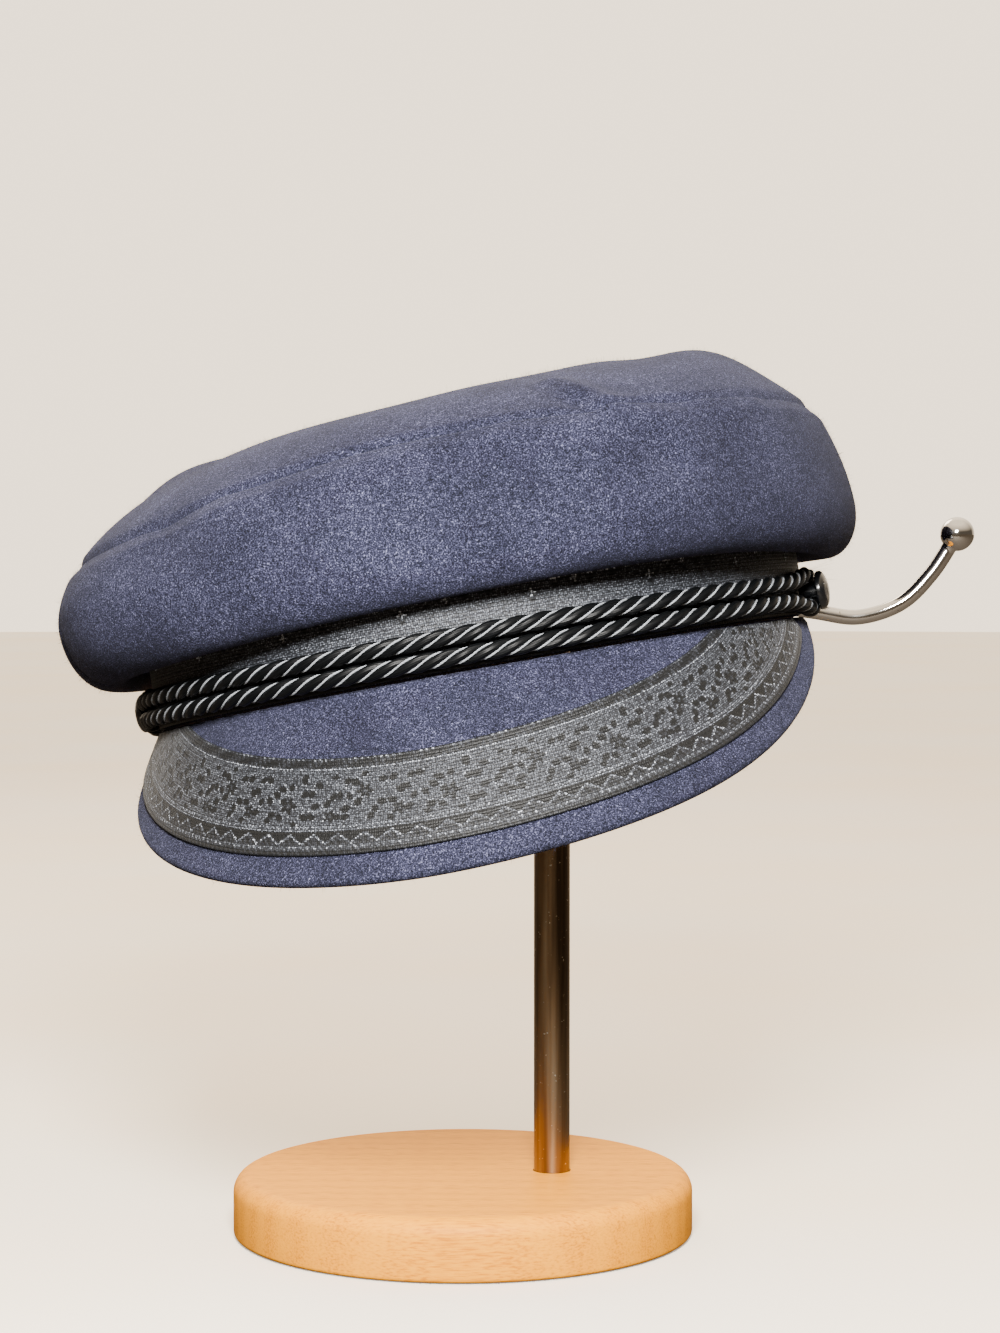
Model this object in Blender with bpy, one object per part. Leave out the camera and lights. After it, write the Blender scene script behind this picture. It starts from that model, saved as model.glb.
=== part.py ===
"""Sailor cap hanging on its wood and chrome stand.

The origin is the centre of the wooden base's underside. +Z is up, the arms of the
stand lie along X, and the cap's peak points to -Y and a little to -X. Metres.

The cap is drawn in a frame of its own, whose XY plane holds the band's lower edge:
an angle of 0 is the middle of the peak, and angles grow towards +X.
"""

import math

import bmesh
import bpy
from mathutils import Vector

GAP = 0.0003  # clearance between neighbouring pieces

# Stand
BASE_RADIUS = 0.065
BASE_HEIGHT = 0.017
BASE_ROUND = 0.005
FOOT_ROUND = 0.00125
SOCKET_DEPTH = 0.010
POST_RADIUS = 0.0051
POST_X = 0.0252  # the post stands off the base's centre
ARM_RADIUS = 0.00215
BALL_RADIUS = 0.0048
BALL_CLEARANCE = 0.0072  # the rod's own points stop this far from a ball's centre
BALL_POLE = math.radians(173)  # a ball ends in a small flat here
# Centre line of one arm: distance from the post's axis, height
ARM_ROUTE = (
    (0.0000, 0.1872),
    (0.0300, 0.1826),
    (0.0600, 0.1778),
    (0.0743, 0.1755),
    (0.0864, 0.1740),
    (0.0983, 0.1779),
    (0.1070, 0.1864),
    (0.1141, 0.1974),
)

# Pose of the cap on the stand
CAP_CENTRE = (0.0064, 0.0, 0.1579)  # middle of the band's lower edge
CAP_TURN = math.radians(9.7)  # peak towards -X
CAP_NOD = math.radians(3.5)  # peak raised
CAP_ROLL = math.radians(10.2)  # -X side low

# Head band
BAND_HALF_WIDTH = 0.091
BAND_HALF_LENGTH = 0.100
BAND_HEIGHT = 0.032
BAND_THICKNESS = 0.003
# The arm at +X carries the cap: it pushes the band's soft lower edge up
LIFT_ANGLE = math.radians(99.0)
LIFT_HEIGHT = 0.0058
LIFT_WIDTH = 0.010

# Ribbons
RIBBON_THICKNESS = 0.0006
BAND_RIBBON_FOOT = 0.0005
BAND_RIBBON_TOP = 0.0245
BAND_RIBBON_END = math.radians(92.0)
PEAK_RIBBON_WIDTH = 0.027
PEAK_RIBBON_START = 0.001  # its tips are cut off here, under the cords
PEAK_RIBBON_TIP = 0.003
PEAK_MARGIN = 0.0075  # cloth left bare along the peak's outer edge

# Peak
PEAK_THICKNESS = 0.0034
PEAK_END = math.radians(89.0)
PEAK_LENGTH = 0.0552
PEAK_END_LENGTH = 0.0025
PEAK_POWERS = (1.85, 1.22)
PEAK_RIGHT_REACH = 0.0025  # how much further out the cloth stands at the right
PEAK_RIGHT_MIDDLE = math.radians(42.0)
PEAK_RIGHT_SPREAD = math.radians(27.0)
PEAK_SLOPE = math.radians(57.5)
PEAK_END_SLOPE = math.radians(60.0)

# Crown
CLOTH = 0.002
CROWN_ROOT = 0.0007  # where the crown's cloth starts, out from the band
SEAM_LEFT = math.radians(-62.0)
SEAM_RIGHT = math.radians(97.0)
WALL_POWER = 1.8
# One row for every 45 degrees from the front towards +X: how far the belly hangs out,
# height of the fold's lowest line, height of the belly, how far the top seam comes in
# again, height of the top seam
CROWN_COLUMNS = ("overhang", "fold", "belly", "inset", "seam")
CROWN_ROWS = (
    (0.0161, 0.0179, 0.0331, 0.0070, 0.0572),
    (0.0237, 0.0182, 0.0334, 0.0034, 0.0564),
    (0.0195, 0.0148, 0.0281, 0.0058, 0.0545),
    (0.0190, 0.0177, 0.0319, 0.0068, 0.0517),
    (0.0211, 0.0170, 0.0320, 0.0061, 0.0474),
    (0.0206, 0.0149, 0.0299, 0.0059, 0.0453),
    (0.0213, 0.0132, 0.0297, 0.0066, 0.0457),
    (0.0248, 0.0149, 0.0324, 0.0064, 0.0480),
)
TOP_MIDDLE = 0.051  # height that the seam's plane has in the middle
TOP_DOME = 0.0185
TOP_POWER = 5.6
# Puffs (+) and hollows (-) of the top: x, y, half width, half depth, height
TOP_PUFFS = (
    (-0.084, 0.000, 0.024, 0.024, 0.0084),
    (-0.030, 0.000, 0.030, 0.060, 0.0068),
    (0.036, 0.000, 0.028, 0.060, 0.0070),
    (0.076, -0.010, 0.026, 0.060, 0.0085),
    (-0.068, 0.000, 0.020, 0.040, 0.0019),
    (0.019, 0.000, 0.014, 0.060, 0.0020),
    (0.064, 0.000, 0.010, 0.060, -0.0029),
    (0.0855, -0.010, 0.010, 0.060, 0.0011),
)

# Trim cord and its buttons
CORD_RADIUS = 0.0024
CORD_MIDDLE = 0.00605
CORD_HALF_SPACING = 0.00255
CORD_OUT = RIBBON_THICKNESS + 2 * GAP + CORD_RADIUS
LOOP_RADIUS = 0.0046
LOOP_ANGLE = math.radians(85.0)
LOOP_FLARE = math.radians(12.0)  # over which the runs part around the button
BUTTON_RADIUS = 0.0052
BUTTON_HEIGHT = 0.0030
STEM_RADIUS = 0.0016

# Steps of the surfaces
AROUND = 60
FOLD_STEPS = 8
WALL_STEPS = 4
TOP_RINGS = (1.0, 0.95, 0.88, 0.79, 0.68, 0.54, 0.37, 0.19)


def between(a, b, c, d, t):
    """Value a share t of the way from b to c on a smooth curve through a, b, c and d."""
    return 0.5 * (2 * b + (c - a) * t + (2 * a - 5 * b + 4 * c - d) * t**2 + (3 * b - a - 3 * c + d) * t**3)


def around(values, turn):
    """Value at a share of a full turn, from a ring of evenly spaced ones."""
    count = len(values)
    place = (turn * count) % count
    first = int(place)
    near = (values[(first + step) % count] for step in (-1, 0, 1, 2))
    return between(*near, place - first)


def crown_at(angle):
    """Sizes of the crown's section at an angle, by column name."""
    turn = angle / math.tau
    return {
        name: around([row[column] for row in CROWN_ROWS], turn)
        for column, name in enumerate(CROWN_COLUMNS)
    }


def oval(angle, out, height):
    """Point beside the band's outer oval, in the cap's frame."""
    across = (BAND_HALF_WIDTH + out) * math.sin(angle)
    back = -(BAND_HALF_LENGTH + out) * math.cos(angle)
    return Vector((across, back, height))


def outward(angle):
    """Direction square to the band's oval, in the cap's plane."""
    return Vector((math.sin(angle) / BAND_HALF_WIDTH, -math.cos(angle) / BAND_HALF_LENGTH, 0)).normalized()


def steps(start, end, count):
    """Evenly spaced values from start to end, both included."""
    return [start + (end - start) * index / count for index in range(count + 1)]


def material(name, colour, roughness, metallic=0.0):
    """Principled material with one colour."""
    made = bpy.data.materials.new(name)
    made.use_nodes = True
    shader = made.node_tree.nodes["Principled BSDF"]
    shader.inputs["Base Color"].default_value = (*colour, 1)
    shader.inputs["Roughness"].default_value = roughness
    shader.inputs["Metallic"].default_value = metallic
    return made


def finish(name, bm, surface, parent=None):
    """Turn a bmesh into a named object with outward faces and one material."""
    bmesh.ops.recalc_face_normals(bm, faces=bm.faces)
    mesh = bpy.data.meshes.new(name)
    bm.to_mesh(mesh)
    bm.free()
    mesh.shade_smooth()
    mesh.set_sharp_from_angle(angle=math.radians(35))
    mesh.materials.append(surface)
    made = bpy.data.objects.new(name, mesh)
    bpy.context.collection.objects.link(made)
    made.parent = parent
    return made


def loft(sections, closed):
    """Bridge equal loops of points into one closed skin, in a ring or with flat ends."""
    bm = bmesh.new()
    loops = [[bm.verts.new(point) for point in section] for section in sections]
    pairs = list(zip(loops, loops[1:]))
    if closed:
        pairs.append((loops[-1], loops[0]))
    for near, far in pairs:
        for index in range(len(near)):
            after = (index + 1) % len(near)
            bm.faces.new((near[index], near[after], far[after], far[index]))
    if not closed:
        bm.faces.new(loops[0])
        bm.faces.new(loops[-1])
    return bm


def turned(profile, sides):
    """Spin a profile of (radius, height) points about Z; it starts and ends on the axis."""
    bm = bmesh.new()
    points = [bm.verts.new((radius, 0, height)) for radius, height in profile]
    edges = [bm.edges.new(pair) for pair in zip(points, points[1:])]
    bmesh.ops.spin(
        bm,
        geom=points + edges,
        cent=(0, 0, 0),
        axis=(0, 0, 1),
        angle=math.tau,
        steps=sides,
        use_merge=True,
    )
    bmesh.ops.remove_doubles(bm, verts=bm.verts, dist=1e-7)
    return bm


def arc(centre_radius, centre_height, radius, start, end, count):
    """Points of a round in a turned profile."""
    return [
        (centre_radius + radius * math.cos(a), centre_height + radius * math.sin(a))
        for a in steps(start, end, count)
    ]


def stand_base(wood):
    """Round wooden base with a blind socket for the post."""
    profile = [(0, 0)]
    profile += arc(BASE_RADIUS - FOOT_ROUND, FOOT_ROUND, FOOT_ROUND, -math.pi / 2, 0, 2)
    profile += arc(BASE_RADIUS - BASE_ROUND, BASE_HEIGHT - BASE_ROUND, BASE_ROUND, 0, math.pi / 2, 5)
    profile.append((0, BASE_HEIGHT))
    base = finish("stand_base", turned(profile, 48), wood)

    floor = BASE_HEIGHT - SOCKET_DEPTH
    bm = bmesh.new()
    bmesh.ops.create_cone(
        bm,
        cap_ends=True,
        segments=24,
        radius1=POST_RADIUS + GAP,
        radius2=POST_RADIUS + GAP,
        depth=2 * SOCKET_DEPTH,
    )
    cutter = finish("socket_cutter", bm, wood)
    cutter.location = (POST_X, 0, floor + SOCKET_DEPTH)
    hide_tool(cutter)
    socket = base.modifiers.new("socket", "BOOLEAN")
    socket.operation = "DIFFERENCE"
    socket.object = cutter


def hide_tool(tool):
    """Keep a cutter or a guide out of the model."""
    tool.hide_render = True
    tool.display_type = "WIRE"


def arm_line():
    """Smooth centre line of one arm, from the post to just before its ball."""
    route = [Vector((x, 0, z)) for x, z in ARM_ROUTE]
    knots = [2 * route[0] - route[1], *route, 2 * route[-1] - route[-2]]
    line = [
        between(*near, t)
        for near in zip(knots, knots[1:], knots[2:], knots[3:])
        for t in (0, 0.5)
    ]
    return [point for point in line if (route[-1] - point).length > BALL_CLEARANCE]


def arms(chrome):
    """Both arms as one bent rod, whose ends swell into balls."""
    line = arm_line()
    radii = [ARM_RADIUS] * len(line)
    centre = Vector((ARM_ROUTE[-1][0], 0, ARM_ROUTE[-1][1]))
    heading = (centre - line[-1]).normalized()
    neck = math.asin(ARM_RADIUS / BALL_RADIUS)
    for angle in steps(neck, BALL_POLE, 8):
        line.append(centre - heading * BALL_RADIUS * math.cos(angle))
        radii.append(BALL_RADIUS * math.sin(angle))
    points = [Vector((-p.x, p.y, p.z)) for p in reversed(line[1:])] + line
    radii = radii[:0:-1] + radii

    curve = bpy.data.curves.new("arms_guide", "CURVE")
    curve.dimensions = "3D"
    curve.bevel_depth = ARM_RADIUS
    curve.bevel_resolution = 2
    curve.use_fill_caps = True
    spline = curve.splines.new("POLY")
    spline.points.add(len(points) - 1)
    for knot, point, radius in zip(spline.points, points, radii):
        knot.co = (point.x + POST_X, point.y, point.z, 1)
        knot.radius = radius / ARM_RADIUS
    guide = bpy.data.objects.new("arms_guide", curve)
    bpy.context.collection.objects.link(guide)
    hide_tool(guide)
    bpy.context.view_layer.update()
    mesh = bpy.data.meshes.new_from_object(guide.evaluated_get(bpy.context.evaluated_depsgraph_get()))
    bm = bmesh.new()
    bm.from_mesh(mesh)
    bmesh.ops.remove_doubles(bm, verts=bm.verts, dist=1e-7)
    rod = finish("arms_rod", bm, chrome)
    hide_tool(rod)
    return rod


def stand_post(chrome):
    """Chrome post with a round head under the crown, with both arms soldered on."""
    foot = BASE_HEIGHT - SOCKET_DEPTH + GAP
    head = post_head_height()
    profile = [(0, foot), (POST_RADIUS, foot)]
    profile += arc(0, head - POST_RADIUS, POST_RADIUS, 0, math.pi / 2, 6)[:-1]
    profile.append((0, head))
    post = finish("stand_post", turned(profile, 24), chrome)
    post.location.x = POST_X
    solder = post.modifiers.new("arms", "BOOLEAN")
    solder.operation = "UNION"
    solder.object = arms(chrome)


def cap_pose():
    """Empty that carries the cap: turned, then nodded, then rolled."""
    pose = bpy.data.objects.new("cap_pose", None)
    bpy.context.collection.objects.link(pose)
    pose.rotation_mode = "ZXY"
    pose.rotation_euler = (-CAP_NOD, -CAP_ROLL, -CAP_TURN)
    pose.location = CAP_CENTRE
    bpy.context.view_layer.update()
    return pose


def post_head_height():
    """Height at which the post's round head nearly touches the crown's cloth."""
    to_cap = bpy.data.objects["cap_pose"].matrix_world.inverted()
    height = CAP_CENTRE[2] + BAND_HALF_LENGTH
    while not clears_top(to_cap @ Vector((POST_X, 0, height - POST_RADIUS))):
        height -= GAP / 3
    return height


def clears_top(centre):
    """Whether a ball of the post's radius stays under the top panel's cloth."""
    for around_it in steps(0, math.tau, 12):
        for tilt in steps(0, math.radians(60), 3):
            reach = POST_RADIUS * math.sin(tilt)
            x = centre.x + reach * math.cos(around_it)
            y = centre.y + reach * math.sin(around_it)
            skin = centre.z + POST_RADIUS * math.cos(tilt)
            if skin > top_height_at(x, y) - CLOTH - GAP:
                return False
    return True


def top_height_at(x, y):
    """Height of the top panel's outer skin over a point of the cap's plane."""
    angle = math.atan2(x / BAND_HALF_WIDTH, -y / BAND_HALF_LENGTH)
    sizes = crown_at(angle)
    rim = sizes["overhang"] - sizes["inset"]
    share = math.hypot(x / (BAND_HALF_WIDTH + rim), y / (BAND_HALF_LENGTH + rim))
    height = sizes["seam"] * share**2 + TOP_MIDDLE * (1 - share**2) + TOP_DOME * (1 - share**TOP_POWER)
    for puff_x, puff_y, wide, deep, rise in TOP_PUFFS:
        height += rise * math.exp(-(((x - puff_x) / wide) ** 2) - ((y - puff_y) / deep) ** 2) * (1 - share**6)
    return height


def crown_top(cloth, pose):
    """Slack oval top panel."""
    bm = bmesh.new()
    rings = []
    for share in TOP_RINGS:
        ring = []
        for index in range(AROUND):
            angle = math.tau * index / AROUND
            sizes = crown_at(angle)
            rim = oval(angle, sizes["overhang"] - sizes["inset"], 0) * share
            height = sizes["seam"] if share == 1 else top_height_at(rim.x, rim.y)
            ring.append(bm.verts.new((rim.x, rim.y, height)))
        rings.append(ring)
    middle = bm.verts.new((0, 0, top_height_at(0, 0)))
    for near, far in zip(rings, rings[1:]):
        for index in range(AROUND):
            after = (index + 1) % AROUND
            bm.faces.new((near[index], near[after], far[after], far[index]))
    for index in range(AROUND):
        bm.faces.new((rings[-1][index], rings[-1][(index + 1) % AROUND], middle))
    made = bmesh.ops.extrude_face_region(bm, geom=list(bm.faces), use_keep_orig=True)
    inner = [part for part in made["geom"] if isinstance(part, bmesh.types.BMVert)]
    bmesh.ops.translate(bm, verts=inner, vec=(0, 0, -CLOTH))
    finish("crown_top", bm, cloth, pose)


def side_section(angle):
    """Closed section of the crown's side: from the band down around the fold, and up to the seam."""
    sizes = crown_at(angle)
    middle = (CROWN_ROOT + sizes["overhang"]) / 2
    reach = (sizes["overhang"] - CROWN_ROOT) / 2
    drop = sizes["belly"] - sizes["fold"]
    path = [
        Vector((middle + reach * math.cos(turn), sizes["belly"] + drop * math.sin(turn)))
        for turn in steps(-math.pi, 0, FOLD_STEPS)
    ]
    top = sizes["seam"] - CLOTH - GAP
    for share in steps(0, 1, WALL_STEPS)[1:]:
        out = sizes["overhang"] - sizes["inset"] * share**WALL_POWER
        path.append(Vector((out, sizes["belly"] + (top - sizes["belly"]) * share)))
    inner = []
    for index, point in enumerate(path):
        along = path[min(index + 1, len(path) - 1)] - path[max(index - 1, 0)]
        inner.append(point + CLOTH * Vector((-along.y, along.x)).normalized())
    return [oval(angle, out, height) for out, height in path + inner[::-1]]


def crown_side(name, start, end, cloth, pose):
    """Side panel of the crown between two upright seams."""
    seam = GAP / 2 / (BAND_HALF_LENGTH + CROWN_ROWS[0][0])
    count = round(AROUND * (end - start) / math.tau)
    angles = steps(start + seam, end - seam, count)
    finish(name, loft([side_section(angle) for angle in angles], closed=False), cloth, pose)


def head_band(cloth, pose):
    """Upright band, with its lower edge pushed up where the arm carries it."""
    sections = []
    for index in range(2 * AROUND):
        angle = math.tau * index / (2 * AROUND)
        arc_length = (angle - LIFT_ANGLE) * BAND_HALF_LENGTH
        foot = LIFT_HEIGHT * math.exp(-((arc_length / LIFT_WIDTH) ** 2))
        sections.append(
            [
                oval(angle, 0, foot),
                oval(angle, 0, BAND_HEIGHT),
                oval(angle, -BAND_THICKNESS, BAND_HEIGHT),
                oval(angle, -BAND_THICKNESS, foot),
            ]
        )
    finish("head_band", loft(sections, closed=True), cloth, pose)


def band_ribbon(brocade, pose):
    """Ribbon laid round the front of the band."""
    near, far = GAP, GAP + RIBBON_THICKNESS
    sections = [
        [
            oval(angle, near, BAND_RIBBON_FOOT),
            oval(angle, far, BAND_RIBBON_FOOT),
            oval(angle, far, BAND_RIBBON_TOP),
            oval(angle, near, BAND_RIBBON_TOP),
        ]
        for angle in steps(-BAND_RIBBON_END, BAND_RIBBON_END, 48)
    ]
    finish("band_ribbon", loft(sections, closed=False), brocade, pose)


def peak_length(angle):
    """Length of the peak from the band to its outer edge."""
    rise, fall = PEAK_POWERS
    share = abs(angle) / PEAK_END
    length = PEAK_END_LENGTH + (PEAK_LENGTH - PEAK_END_LENGTH) * (1 - min(share, 1) ** rise) ** fall
    off_middle = (angle - PEAK_RIGHT_MIDDLE) / PEAK_RIGHT_SPREAD
    return length + PEAK_RIGHT_REACH * math.exp(-(off_middle**2))


def peak_point(angle, along, above):
    """Point a distance along the peak's upper skin and above it."""
    slope = PEAK_SLOPE + (PEAK_END_SLOPE - PEAK_SLOPE) * (angle / PEAK_END) ** 2
    out = outward(angle)
    down = out * math.cos(slope) - Vector((0, 0, math.sin(slope)))
    up = out * math.sin(slope) + Vector((0, 0, math.cos(slope)))
    return oval(angle, 0, -GAP) + down * along + up * above


def peak(cloth, pose):
    """Cloth-covered peak with a rounded outer edge."""
    sections = []
    for angle in steps(-PEAK_END, PEAK_END, 48):
        length = peak_length(angle)
        half = PEAK_THICKNESS / 2
        nose = min(half, length / 3)
        section = [peak_point(angle, along, 0) for along in steps(0, length - nose, 4)]
        for turn in steps(math.pi / 2, -math.pi / 2, 4)[1:-1]:
            along = length - nose + nose * math.cos(turn)
            section.append(peak_point(angle, along, half * (math.sin(turn) - 1)))
        section += [peak_point(angle, along, -PEAK_THICKNESS) for along in steps(length - nose, 0, 4)]
        sections.append(section)
    finish("peak", loft(sections, closed=False), cloth, pose)


def peak_ribbon(brocade, pose):
    """Crescent of ribbon on the peak, inside its bare margin."""
    shortest = PEAK_MARGIN + PEAK_RIBBON_START + PEAK_RIBBON_TIP
    end = max(angle for angle in steps(0, PEAK_END, 200) if peak_length(-angle) > shortest)
    sections = []
    for angle in steps(-end, end, 48):
        outer = peak_length(angle) - PEAK_MARGIN
        inner = max(outer - PEAK_RIBBON_WIDTH, PEAK_RIBBON_START)
        lower, upper = GAP, GAP + RIBBON_THICKNESS
        section = [peak_point(angle, along, upper) for along in steps(inner, outer, 2)]
        section += [peak_point(angle, along, lower) for along in steps(outer, inner, 2)]
        sections.append(section)
    finish("peak_ribbon", loft(sections, closed=False), brocade, pose)


def run_height(angle):
    """Distance of a cord run from the pair's middle: they part around the buttons."""
    share = max(0.0, 1 - (LOOP_ANGLE - abs(angle)) / LOOP_FLARE)
    ease = share * share * (3 - 2 * share)
    return CORD_HALF_SPACING + (LOOP_RADIUS - CORD_HALF_SPACING) * ease


def trim_cord(rayon, pose):
    """Endless cord: a lower run and an upper run that turn round both buttons."""
    run = steps(-LOOP_ANGLE, LOOP_ANGLE, 26)
    points = [oval(angle, CORD_OUT, CORD_MIDDLE - run_height(angle)) for angle in run]
    points += loop_points(1)
    points += [oval(angle, CORD_OUT, CORD_MIDDLE + run_height(angle)) for angle in reversed(run)]
    points += loop_points(-1)
    curve = bpy.data.curves.new("trim_cord", "CURVE")
    curve.dimensions = "3D"
    curve.bevel_depth = CORD_RADIUS
    curve.bevel_resolution = 2
    spline = curve.splines.new("POLY")
    spline.points.add(len(points) - 1)
    for knot, point in zip(spline.points, points):
        knot.co = (*point, 1)
    spline.use_cyclic_u = True
    spline.use_smooth = True
    curve.materials.append(rayon)
    made = bpy.data.objects.new("trim_cord", curve)
    bpy.context.collection.objects.link(made)
    made.parent = pose


def loop_points(side):
    """Half circle round a button, from the lower run to the upper one or back."""
    points = []
    for turn in steps(-math.pi / 2, math.pi / 2, 6)[1:-1]:
        angle = LOOP_ANGLE + LOOP_RADIUS * math.cos(turn) / BAND_HALF_LENGTH
        points.append(oval(side * angle, CORD_OUT, CORD_MIDDLE + side * LOOP_RADIUS * math.sin(turn)))
    return points


def button(name, angle, gloss, pose):
    """Domed side button on a stem that passes through the cord's loop."""
    head = 2 * CORD_RADIUS + GAP
    rim = BUTTON_HEIGHT / 3
    profile = [(0, 0), (STEM_RADIUS, 0), (STEM_RADIUS, head)]
    profile += [(BUTTON_RADIUS, head), (BUTTON_RADIUS, head + rim)]
    for turn in steps(0, math.pi / 2, 4)[1:-1]:
        profile.append((BUTTON_RADIUS * math.cos(turn), head + rim + (BUTTON_HEIGHT - rim) * math.sin(turn)))
    profile.append((0, head + BUTTON_HEIGHT))
    made = finish(name, turned(profile, 20), gloss, pose)
    made.location = oval(angle, 0, CORD_MIDDLE) + outward(angle) * (RIBBON_THICKNESS + 2 * GAP)
    made.rotation_mode = "QUATERNION"
    made.rotation_quaternion = outward(angle).to_track_quat("Z", "Y")


def main():
    """Build the stand and the cap."""
    for old in list(bpy.data.objects):
        bpy.data.objects.remove(old, do_unlink=True)
    wood = material("varnished_wood", (0.47, 0.20, 0.05), 0.35)
    chrome = material("chrome", (0.55, 0.55, 0.57), 0.12, 1.0)
    wool = material("navy_wool", (0.050, 0.055, 0.120), 0.95)
    brocade = material("brocade", (0.075, 0.085, 0.095), 0.55)
    rayon = material("black_rayon", (0.010, 0.014, 0.016), 0.35)
    gloss = material("button_plastic", (0.010, 0.011, 0.013), 0.25)

    pose = cap_pose()
    stand_base(wood)
    stand_post(chrome)
    crown_top(wool, pose)
    crown_side("crown_front", SEAM_LEFT, SEAM_RIGHT, wool, pose)
    crown_side("crown_back", SEAM_RIGHT, SEAM_LEFT + math.tau, wool, pose)
    head_band(wool, pose)
    band_ribbon(brocade, pose)
    peak(wool, pose)
    peak_ribbon(brocade, pose)
    trim_cord(rayon, pose)
    button("button_left", -LOOP_ANGLE, gloss, pose)
    button("button_right", LOOP_ANGLE, gloss, pose)


main()
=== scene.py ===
"""Looks of a sailor cap that hangs on its wood and chrome stand.

The cap is drawn in a frame of its own, whose XY plane holds the band's lower edge: an
angle of 0 is the middle of the peak, and angles grow towards +X. Lengths are metres, and
a name that ends in _mm holds millimetres.
"""

import logging
import math
from collections.abc import Callable
from dataclasses import dataclass, field
from enum import Enum

import bpy
import numpy as np
from mathutils import Euler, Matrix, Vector

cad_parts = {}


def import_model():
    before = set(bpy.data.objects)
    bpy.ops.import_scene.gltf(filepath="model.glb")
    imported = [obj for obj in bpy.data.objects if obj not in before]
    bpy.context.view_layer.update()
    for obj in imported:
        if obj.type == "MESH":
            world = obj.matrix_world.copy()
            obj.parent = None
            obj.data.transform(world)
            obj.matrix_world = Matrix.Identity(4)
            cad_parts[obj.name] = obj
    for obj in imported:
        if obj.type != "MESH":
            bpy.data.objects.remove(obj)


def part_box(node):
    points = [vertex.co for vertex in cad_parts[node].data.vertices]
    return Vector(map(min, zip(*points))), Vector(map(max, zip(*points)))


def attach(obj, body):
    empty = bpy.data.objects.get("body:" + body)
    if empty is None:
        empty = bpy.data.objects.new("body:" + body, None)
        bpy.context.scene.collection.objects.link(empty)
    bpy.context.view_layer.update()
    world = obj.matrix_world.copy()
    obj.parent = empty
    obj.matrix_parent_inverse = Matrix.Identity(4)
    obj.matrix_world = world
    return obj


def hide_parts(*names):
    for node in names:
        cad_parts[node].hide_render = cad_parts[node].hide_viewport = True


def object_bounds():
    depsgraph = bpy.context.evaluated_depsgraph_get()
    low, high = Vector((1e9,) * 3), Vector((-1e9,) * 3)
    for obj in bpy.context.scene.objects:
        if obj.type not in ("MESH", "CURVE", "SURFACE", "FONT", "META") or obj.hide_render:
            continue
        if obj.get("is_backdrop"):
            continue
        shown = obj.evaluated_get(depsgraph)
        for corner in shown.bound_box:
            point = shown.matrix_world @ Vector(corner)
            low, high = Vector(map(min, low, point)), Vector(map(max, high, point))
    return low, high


LOG = logging.getLogger("sailor_cap")
MM = 0.001
BODY = "root"
# A wave texture's bands are this far apart at a scale of 1
WAVE_PERIOD = math.pi / 10

Place = Callable[[np.ndarray, np.ndarray], np.ndarray]


class Ribbon(Enum):
    """The two places that carry brocade."""

    BAND = "band_ribbon"
    PEAK = "peak_ribbon"


def linear(colour: str) -> tuple[float, float, float, float]:
    """Turn an sRGB hex colour into linear RGBA.

    Args:
        colour: six hex digits after a hash sign.

    Returns:
        The linear colour with an alpha of 1.
    """
    parts = [int(colour[start:start + 2], 16) / 255 for start in (1, 3, 5)]
    red, green, blue = (p / 12.92 if p <= 0.04045 else ((p + 0.055) / 1.055) ** 2.4 for p in parts)
    return red, green, blue, 1.0


def add_node(
    tree: bpy.types.NodeTree,
    kind: str,
    out: str | int,
    inputs: dict[str | int, object] | None = None,
    stops: list[tuple[float, str]] | None = None,
    **settings: object,
) -> bpy.types.NodeSocket:
    """Add a shader node with its settings and links, and give one of its outputs.

    Args:
        tree: node tree that gets the node.
        kind: the node's type name after "ShaderNode".
        out: name or number of the output to give.
        inputs: input name or number to the socket or value that feeds it.
        stops: position and sRGB hex colour of each stop of a colour ramp.
        settings: the node's own properties.

    Returns:
        The output socket.
    """
    node = tree.nodes.new("ShaderNode" + kind)
    for name, value in settings.items():
        setattr(node, name, value)
    for name, value in (inputs or {}).items():
        if isinstance(value, bpy.types.NodeSocket):
            tree.links.new(value, node.inputs[name])
        else:
            node.inputs[name].default_value = value
    if stops:
        elements = node.color_ramp.elements
        while len(elements) < len(stops):
            elements.new(0.5)
        for element, (position, colour) in zip(elements, stops):
            element.position = position
            element.color = linear(colour)
    return node.outputs[out]


def start_material(
    name: str, **sockets: object
) -> tuple[bpy.types.Material, bpy.types.NodeTree, bpy.types.Node]:
    """Make a material with a bare Principled shader.

    Args:
        name: the material's name.
        sockets: constant values of the shader's sockets, with spaces as "_".

    Returns:
        The material, its node tree and its shader.
    """
    made = bpy.data.materials.new(name)
    made.use_nodes = True
    shader = made.node_tree.nodes["Principled BSDF"]
    for socket, value in sockets.items():
        shader.inputs[socket.replace("_", " ")].default_value = value
    return made, made.node_tree, shader


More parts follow.
